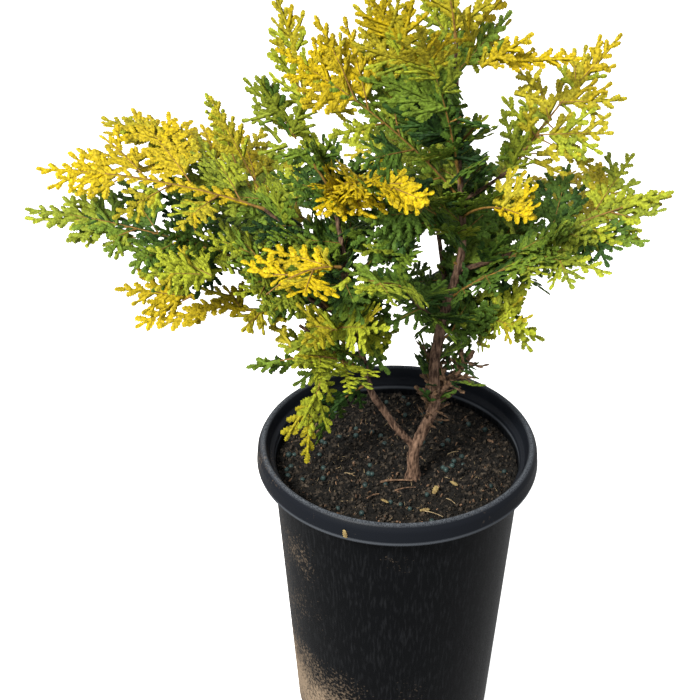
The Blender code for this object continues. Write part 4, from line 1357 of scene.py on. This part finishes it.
class Limb:
    """A tapering limb along a smooth course. Its root is where it leaves the middle of its parent."""

    def __init__(self, name, course, root=None):
        self.name = name
        self.points = [Vector(row[:3]) for row in course]
        self.radii = [row[3] for row in course]
        self.root = root

    def at(self, along):
        """(point, direction, radius) at a distance along the limb, or at its end."""
        left = math.inf if along is TIP else along
        for a, b, first, second in zip(self.points, self.points[1:], self.radii, self.radii[1:]):
            step = (b - a).length
            if left <= step:
                share = left / step
                return a.lerp(b, share), (b - a).normalized(), first + (second - first) * share
            left -= step
        return self.points[-1], (self.points[-1] - self.points[-2]).normalized(), self.radii[-1]

    def start_of(self, along, ahead, radius):
        """Where a limb of this radius, heading ahead, starts so that its foot is clear by GAP."""
        point, forward, own = self.at(along)
        cosine = abs(forward.dot(ahead))
        sine = math.sqrt(max(0.0, 1 - cosine * cosine))
        if along is TIP:
            return point + ahead * (GAP + own * sine)
        return point + ahead * (own + GAP + radius * cosine) / sine


def grow_limbs():
    """The trunk, the left stem and the boughs, by name."""
    trunk = Limb("trunk", smooth_course(TRUNK_COURSE, COURSE_STEPS))
    fork, _, _ = trunk.at(FORK_ALONG)
    first = LEFT_STEM_COURSE[0]
    start = trunk.start_of(FORK_ALONG, (Vector(first[:3]) - fork).normalized(), first[3])
    course = [(*start, first[3]), *LEFT_STEM_COURSE]
    limbs = {"trunk": trunk}
    limbs["left_stem"] = Limb("left_stem", smooth_course(course, COURSE_STEPS), fork)
    for bough in BOUGHS:
        parent = limbs[bough.limb]
        root, _, _ = parent.at(bough.along)
        point = parent.start_of(bough.along, heading(bough.azimuth, bough.rise), bough.foot)
        course = [(*point, bough.foot)]
        for step in range(1, BOUGH_STEPS + 1):
            share = step / BOUGH_STEPS
            rise = bough.rise + bough.bend * (share - 0.5 / BOUGH_STEPS)
            point = point + heading(bough.azimuth, rise) * bough.length / BOUGH_STEPS
            course.append((*point, bough.foot + (bough.tip - bough.foot) * share))
        limbs[bough.name] = Limb(bough.name, course, root)
    return limbs


class Growth:
    """One frond as it grows: its stem, then its twigs, then its sprays."""

    def __init__(self, frond, limbs, seed):
        self.frond = frond
        self.rng = random.Random(seed)
        ahead = heading(frond.azimuth, frond.rise)
        self.side = Matrix.Rotation(math.radians(frond.roll), 3, ahead) @ self.bend_axis(ahead)
        point = limbs[frond.limb].start_of(frond.along, ahead, STEM_RADIUS)
        self.root, _, _ = limbs[frond.limb].at(frond.along)
        self.line = [point]
        self.aheads = [ahead]
        for step in range(STEM_POINTS - 1):
            bend = frond.droop / (STEM_POINTS - 1)
            ahead = Matrix.Rotation(math.radians(bend), 3, self.bend_axis(ahead)) @ ahead
            point = point + ahead * frond.length * STEM_SHARE / (STEM_POINTS - 1)
            self.line.append(point)
            self.aheads.append(ahead)

    @staticmethod
    def bend_axis(ahead):
        """The level axis about which a positive turn lowers the tip."""
        return Vector((-ahead.y, ahead.x, 0)).normalized()

    def at(self, share):
        """(point, direction, normal) at a share of the stem."""
        place = share * (len(self.line) - 1)
        i = min(int(place), len(self.line) - 2)
        ahead = self.aheads[i].lerp(self.aheads[i + 1], place - i).normalized()
        side = (self.side - ahead * self.side.dot(ahead)).normalized()
        return self.line[i].lerp(self.line[i + 1], place - i), ahead, ahead.cross(side)

    def half_width(self, share):
        """How far the frond reaches to each side of its stem at a share of the stem."""
        if share < WIDEST:
            return self.frond.width / 2 * (FOOT_WIDTH + (1 - FOOT_WIDTH) * share / WIDEST)
        fall = ((share - WIDEST) / (1 - WIDEST)) ** WIDTH_FALL
        return self.frond.width / 2 * (1 - (1 - TIP_WIDTH) * fall)

    def twigs(self):
        """(share, point, direction, normal, root, reach) of each side twig, in the source's order."""
        stem = STEM_SHARE * self.frond.length
        count = max(FEWEST_TWIGS, round(stem * (1 - FIRST_TWIG) / TWIG_PITCH) + 1)
        first_hand = self.rng.choice((-1, 1))
        for index in range(count):
            share = FIRST_TWIG + (1 - FIRST_TWIG) * index / count
            hand = first_hand * (-1) ** index
            point, ahead, normal = self.at(share)
            angle = TWIG_ANGLE_FOOT + (TWIG_ANGLE_TIP - TWIG_ANGLE_FOOT) * share
            angle += self.rng.uniform(-TURN_JITTER, TURN_JITTER)
            tilt = self.rng.uniform(-TILT_JITTER, TILT_JITTER)
            reach = self.half_width(share) / math.sin(math.radians(angle))
            reach *= self.rng.uniform(1 - REACH_JITTER, 1 + REACH_JITTER)
            out = Matrix.Rotation(math.radians(hand * angle), 3, normal) @ ahead
            out = (Matrix.Rotation(math.radians(tilt), 3, ahead) @ out).normalized()
            root = SPRAY_ROOT * reach if reach > SHORT_REACH else 0.0
            yield share, point, out, normal, root, reach


# ---------------------------------------------------------------- sprays carried on to branchlets


def within(outline, across, down):
    """True where the pixel is inside the outline, whose corners run clockwise and bulge outwards."""
    return all(
        (x2 - x1) * (down - y1) > (y2 - y1) * (across - x1)
        for (x1, y1), (x2, y2) in zip(outline, outline[1:] + outline[:1])
    )


def out_of_place(point, frond):
    """True where the photograph shows sky at the point, or shows it outside its frond's outline."""
    tilt = Matrix.Rotation(-math.radians(CAMERA_PITCH), 3, "X")
    seen = tilt @ (point * MM - CAMERA_PLACE)
    scale = PHOTO_SIDE * LENS / SENSOR / -seen.z
    across = PHOTO_SIDE / 2 + seen.x * scale
    down = PHOTO_SIDE / 2 - seen.y * scale
    if frond in OUTLINES and not within(OUTLINES[frond], across, down):
        return True
    for gap in SKY_GAPS:
        aside = (across - gap.across) / (gap.wide + SKY_MARGIN)
        above = (down - gap.down) / (gap.high + SKY_MARGIN)
        if aside**2 + above**2 < 1:
            return True
    return False


def cut_short(points, frond):
    """The points before the first that is out of place."""
    return list(takewhile(lambda point: not out_of_place(point, frond), points))


class Foliage:
    """Leafy twigs by leaf colour, and the fronds that each colour stands in."""

    def __init__(self):
        self.twigs = defaultdict(list)
        self.fronds = defaultdict(set)
        self.stems = []

    def leafy(self, frond, tone, points, lie, reach):
        """Adds a leafy twig, cut short where the photograph shows none of it."""
        points = cut_short(points, frond)
        count = len(points)
        if count < 2:
            return
        index = max(0, min(len(LEAF_COLOURS) - 1, round(tone)))
        colour = DRIED if tone < DRIED_TONE / 2 else LEAF_COLOURS[index].name
        values = {"lie": [lie] * count, "reach": [reach] * count, "thick": [LEAFY_TWIG_RADIUS] * count}
        self.twigs[colour].append({"points": points, **values})
        if frond is not None:
            self.fronds[colour].add(frond)

    def stem(self, frond, points, radii):
        """Adds a bare stem, cut short where the photograph shows none of it."""
        points = cut_short(points, frond)
        if len(points) > 1:
            self.stems.append({"points": points, "thick": radii[: len(points)]})


def grow_spray(foliage, frond, rng, tone, root, ahead, normal, length, spread=SPRAY_WIDTH):
    """A spray: its axis, with leafy twigs to each side where it is long enough to carry them."""
    tilt = Matrix.Rotation(math.radians(rng.uniform(-TILT_JITTER, TILT_JITTER)), 3, ahead)
    normal = tilt @ (normal - ahead * normal.dot(ahead)).normalized()
    side = normal.cross(ahead)
    width = length * spread

    def on_axis(share):
        return root + ahead * (share * length) - normal * (SPRAY_SAG * length * share * share)

    axis = [on_axis(i / (AXIS_POINTS - 1)) for i in range(AXIS_POINTS)]
    own_tone = tone + TONE_OUTWARD * TONE_ON_AXIS
    if length < LONE_TWIG:
        foliage.leafy(frond, own_tone, axis, normal, min(BRANCHLET, length * BRANCHLET_ON_LONE))
        return
    foliage.leafy(frond, own_tone, axis, normal, BRANCHLET_ON_AXIS)
    shown = axis[: len(SPRAY_STEM)]
    foliage.stem(frond, [point + normal * SPRAY_STEM_LIFT for point in shown], list(SPRAY_STEM))
    count = round(length * (LAST_SIDE - FIRST_SIDE) / SIDE_PITCH) + 1
    for hand, shift in ((1, 0.0), (-1, -0.5)):
        for index in range(count):
            tip = FIRST_SIDE + (LAST_SIDE - FIRST_SIDE) * (index + 0.5 + shift) / count
            span = math.sin(math.pi * (SPAN_FROM + SPAN_PER_SHARE * tip)) / 2 * width
            angle = SIDE_ANGLE_FOOT + (SIDE_ANGLE_TIP - SIDE_ANGLE_FOOT) * tip
            angle = math.radians(angle + rng.uniform(-SIDE_TURN, SIDE_TURN))
            reach = span / math.sin(angle) * rng.uniform(SIDE_SHORTEST, SIDE_LONGEST)
            lift = math.radians(rng.uniform(-SIDE_LIFT, SIDE_LIFT))
            shade = rng.uniform(-TONE_JITTER, TONE_JITTER)
            start = max(FIRST_START, tip - span / math.tan(angle) / length)
            if reach < SIDE_LEAST:
                continue
            points = [on_axis(start)]
            for step in range(SIDE_POINTS - 1):
                share = (step + 0.5) / (SIDE_POINTS - 1)
                turn = angle + math.radians(SIDE_BEND) * (0.5 - share)
                out = ahead * math.cos(turn) + side * hand * math.sin(turn)
                out = out * math.cos(lift) + normal * math.sin(lift)
                sag = normal * (SIDE_SAG * 2 * share)
                points.append(points[-1] + (out - sag).normalized() * reach / (SIDE_POINTS - 1))
            branchlet = min(BRANCHLET, reach * BRANCHLET_SHARE)
            outward = TONE_OUTWARD * (tip - TONE_LEVEL)
            foliage.leafy(frond, tone + outward + shade, points, normal, branchlet)


def faced(frond, normal):
    """The normal of one of a frond's sprays, turned some way towards the side photographed."""
    way = FACING_WAY if normal.dot(FACING_WAY) > 0 else -FACING_WAY
    return normal.lerp(way, FACINGS.get(frond, FACING)).normalized()


def shaded(frond, share):
    """A frond's tone at a share of its stem, deeper at a foot that is in shade."""
    foot = SHADED_FEET.get(frond.name)
    own = frond.tone
    if foot is not None and share < foot.until:
        own = foot.tone + (frond.tone - foot.tone) * (share / foot.until) ** SHADE_FALL
    return own + TONE_OUTWARD * (share - 0.5)


def grow_foliage(limbs):
    """The leafy twigs and stems of the fronds, of the wisps and of what clothes the limbs."""
    foliage = Foliage()
    growths = {}
    for number, frond in enumerate(FRONDS):
        growth = growths[frond.name] = Growth(frond, limbs, FROND_SEED + number)
        near_side = NEAR_SIDES.get(frond.name, NearSide(1.0, 0.0, 1.0))
        rng = random.Random(SPRAY_SEED + number)
        twigs = list(growth.twigs())
        fall = (STEM_TIP_RADIUS - STEM_RADIUS) / (STEM_POINTS - 1)
        radii = [(STEM_RADIUS + fall * i) * STEM_SLIMMER for i in range(STEM_POINTS)]
        foliage.stem(None, [growth.root, *growth.line], [STEM_RADIUS, *radii])
        normal = faced(frond.name, growth.at(0.5)[2])
        shares = [STEM_LEAF_FROM + (1 - STEM_LEAF_FROM) * i / STEM_POINTS for i in range(STEM_POINTS + 1)]
        clad = [growth.at(share)[0] for share in shares]
        foliage.leafy(frond.name, shaded(frond, 0.5), clad, normal, STEM_LEAF)
        tip, ahead, normal = growth.at(1.0)
        rest = (1 - STEM_SHARE) * frond.length
        root = tip - ahead * (TIP_SPRAY - 1) * rest
        normal = faced(frond.name, normal)
        grow_spray(foliage, frond.name, rng, shaded(frond, 1.0), root, ahead, normal, TIP_SPRAY * rest)
        for share, point, out, normal, root, reach in twigs:
            start = point + out * (root - SPRAY_SINK)
            if root:
                radii = [TWIG_RADIUS * STEM_SLIMMER, SPRAY_STEM[0]]
                foliage.stem(frond.name, [point, start + out * SPRAY_SINK * 2], radii)
            tone = shaded(frond, share)
            length = reach - root + SPRAY_SINK
            if share >= near_side.first and out.y < growth.at(share)[1].y:
                tone += near_side.tone
                length *= near_side.reach
            grow_spray(foliage, frond.name, rng, tone, start, out, faced(frond.name, normal), length)
    for number, wisp in enumerate(WISPS):
        root, _, normal = growths[wisp.frond].at(wisp.share)
        way = Vector((wisp.x, wisp.y, wisp.z)) - root
        ahead = way.normalized()
        start = root + way * wisp.bare
        radii = [TWIG_RADIUS * STEM_SLIMMER, *SPRAY_STEM[:2]]
        foliage.stem(wisp.frond, [root, start, start + ahead * SPRAY_SINK * 2], radii)
        normal = faced(WISP_FACING, (normal - ahead * normal.dot(ahead)).normalized())
        rng = random.Random(WISP_SEED + number)
        length = way.length * (1 - wisp.bare)
        grow_spray(foliage, wisp.frond, rng, wisp.tone, start, ahead, normal, length, wisp.spread)
    clothe_limbs(foliage, limbs)
    return foliage


def clothe_limbs(foliage, limbs):
    """Short sprays round the limbs inside the crown, turned on from one to the next."""
    rng = random.Random(CLOTHING_SEED)
    for row in CLOTHED:
        place, around = row.first, rng.uniform(0, 360)
        while place < row.last:
            point, forward, radius = limbs[row.limb].at(place)
            around += CLOTHING_TURN + rng.uniform(-CLOTHING_JITTER, CLOTHING_JITTER)
            radial = Matrix.Rotation(math.radians(around), 3, forward) @ forward.orthogonal().normalized()
            angle = math.radians(CLOTHING_ANGLE + rng.uniform(-CLOTHING_JITTER, CLOTHING_JITTER))
            out = (forward * math.cos(angle) + radial * math.sin(angle)).normalized()
            up = Vector((0, 0, 1))
            normal = (up - out * up.dot(out)).normalized()
            roll = math.radians(rng.uniform(-CLOTHING_ROLL, CLOTHING_ROLL))
            normal = Matrix.Rotation(roll, 3, out) @ normal
            tone = row.tone + rng.uniform(-CLOTHING_TONE_JITTER, CLOTHING_TONE_JITTER)
            length = row.length * rng.uniform(CLOTHING_SHORTEST, CLOTHING_LONGEST)
            place += row.pitch
            if row.limb == "trunk" and BARE_FROM < point.z < BARE_TO and out.y < BARE_HEADING:
                continue
            grow_spray(foliage, None, rng, tone, point, out, normal, length)


def branchlet_mesh(name, lobes, widest, notch):
    """A flat blunt branchlet of unit length, width and thickness, lobed along both edges."""
    bm = bmesh.new()

    def rim_point(share, depth, hand):
        full = 0.5 * (1 - BRANCHLET_NARROWING * (share - widest) ** 2)
        return bm.verts.new((share, hand * full * depth, -BRANCHLET_DROOP * share * share))

    def middle_point(place, height):
        return bm.verts.new((place, 0.0, height))

    left, right = [rim_point(0.0, BRANCHLET_FOOT, 1)], [rim_point(0.0, BRANCHLET_FOOT, -1)]
    for lobe in range(lobes):
        for side, hand, back in ((left, 1, 0.0), (right, -1, LOBE_STAGGER)):
            place = (lobe + FIRST_LOBE - back) / (lobes + LOBE_REST)
            side.append(rim_point(place, 1.0, hand))
            if lobe < lobes - 1:
                side.append(rim_point(place + NOTCH_AFTER / lobes, notch, hand))
    rim = [*left, middle_point(*BRANCHLET_TIP), *reversed(right)]
    ridge = [middle_point(*row) for row in BRANCHLET_RIDGE]
    keel = middle_point(*BRANCHLET_KEEL)

    def nearest(corner):
        return min(range(len(ridge)), key=lambda i: abs(ridge[i].co.x - corner.co.x))

    for a, b in zip(rim, rim[1:] + rim[:1]):
        bm.faces.new((a, b, keel))
        bm.faces.new((b, a, ridge[nearest(a)]))
        if nearest(a) != nearest(b):
            bm.faces.new((b, ridge[nearest(a)], ridge[nearest(b)]))
    bmesh.ops.recalc_face_normals(bm, faces=bm.faces)
    return mesh_from(bm, name)


def make_foliage(limbs, trees, finishes):
    """The sprays of each leaf colour, the dried ones, and the stems of them all."""
    foliage = grow_foliage(limbs)
    shapes = [branchlet_mesh(f"branchlet_{i}", *shape) for i, shape in enumerate(BRANCHLET_SHAPES)]
    group = collection_of("branchlets", shapes)
    rows = [(row.name, row.slot, f"{row.name}_leaf") for row in LEAF_COLOURS]
    for index, (colour, slot, finish) in enumerate([*rows, (DRIED, "bark", "dried_scale")]):
        values = {"Branchlets": group, "Seed": BRANCHLET_SEED + index, "Material": finishes[finish]}
        piece = grown(f"{colour}_sprays", lines_mesh(colour, foliage.twigs[colour]), trees["leafy"], values)
        keep(piece, slot, *sorted(foliage.fronds[colour]))
    drop(group)
    values = {"Material": finishes["young_bark"], **FROND_BARK}
    keep(grown("frond_stems", lines_mesh("frond_stems", foliage.stems), trees["bark"], values), "bark")


def make_bark(limbs, tree, finishes):
    """The trunk, the left stem and the boughs, joined where they leave one another."""
    main, boughs = [], []
    for limb in limbs.values():
        rows = [(*point, radius) for point, radius in zip(limb.points, limb.radii)]
        x, y, z, radius = rows[0]
        if limb.root is None:
            foot = (x, y, z - ROOT_DEPTH, radius * ROOT_SWELL)
        else:
            foot = (*limb.root, radius * FOOT_SWELL)
        fine = smooth_course([foot, *rows], BARK_STEPS)
        course = {"points": [Vector(row[:3]) for row in fine], "thick": [row[3] for row in fine]}
        (boughs if limb.name.endswith("bough") else main).append(course)
    for name, courses, finish, bark, nodes in (
        ("bark_of_trunk_and_stem", main, "trunk_bark", TRUNK_BARK, ("trunk", "left_stem")),
        ("bark_of_boughs", boughs, "bough_bark", BOUGH_BARK, [row.name for row in BOUGHS]),
    ):
        values = {"Material": finishes[finish], **bark}
        keep(grown(name, lines_mesh(name, courses), tree, values), "bark", *nodes)


# ---------------------------------------------------------------- stage


def make_stage(groups):
    """A plain pale floor, soft light and the photograph's camera."""
    bm = bmesh.new()
    bmesh.ops.create_grid(bm, x_segments=1, y_segments=1, size=FLOOR_REACH)
    floor = new_object("floor", mesh_from(bm, "floor"))
    floor.visible_diffuse = False
    floor.visible_glossy = False
    ground = natural_material("pale_floor", PALE_FLOOR, groups)
    glow = ground.node_tree.nodes["Principled BSDF"].inputs
    glow["Emission Color"].default_value = (1.0, 1.0, 1.0, 1.0)
    glow["Emission Strength"].default_value = FLOOR_GLOW
    floor.data.materials.append(ground)

    scene = bpy.context.scene
    world = bpy.data.worlds.new("studio")
    scene.world = world
    world.use_nodes = True
    sky = world.node_tree
    height = add(sky, "ShaderNodeSeparateXYZ", {0: add(sky, "ShaderNodeTexCoord")["Generated"]})[2]
    light = mapped(sky, height, SKY_FROM, SKY_TO, SKY_BELOW, SKY_ABOVE)
    sky.links.new(light, sky.nodes["Background"].inputs["Color"])

    lamp = bpy.data.lights.new("key", "AREA")
    lamp.energy = KEY_POWER
    lamp.size = KEY_SIZE
    lamp.color = KEY_COLOUR
    key = bpy.data.objects.new("key", lamp)
    key.location = KEY_PLACE
    key.rotation_euler = (KEY_AIM - key.location).to_track_quat("-Z", "Y").to_euler()
    scene.collection.objects.link(key)

    camera = bpy.data.objects.new("camera", bpy.data.cameras.new("camera"))
    camera.location = CAMERA_PLACE
    camera.rotation_euler = (math.radians(CAMERA_PITCH), 0.0, 0.0)
    camera.data.sensor_width = SENSOR
    camera.data.lens = LENS
    scene.collection.objects.link(camera)
    scene.camera = camera
    scene.view_settings.view_transform = "Standard"


def main():
    groups = {"grain": grain_group(), "dust": dust_group()}
    finishes = {name: natural_material(name, finish, groups) for name, finish in FINISHES.items()}
    trees = {"leafy": leafy_twig_tree(), "bark": bark_tree(), "strewn": scatter_tree()}
    make_pot(groups)
    make_soil(finishes)
    make_strewn(trees["strewn"], finishes)
    make_fallen(trees, finishes)
    limbs = grow_limbs()
    make_bark(limbs, trees["bark"], finishes)
    make_foliage(limbs, trees, finishes)
    make_stage(groups)


main()
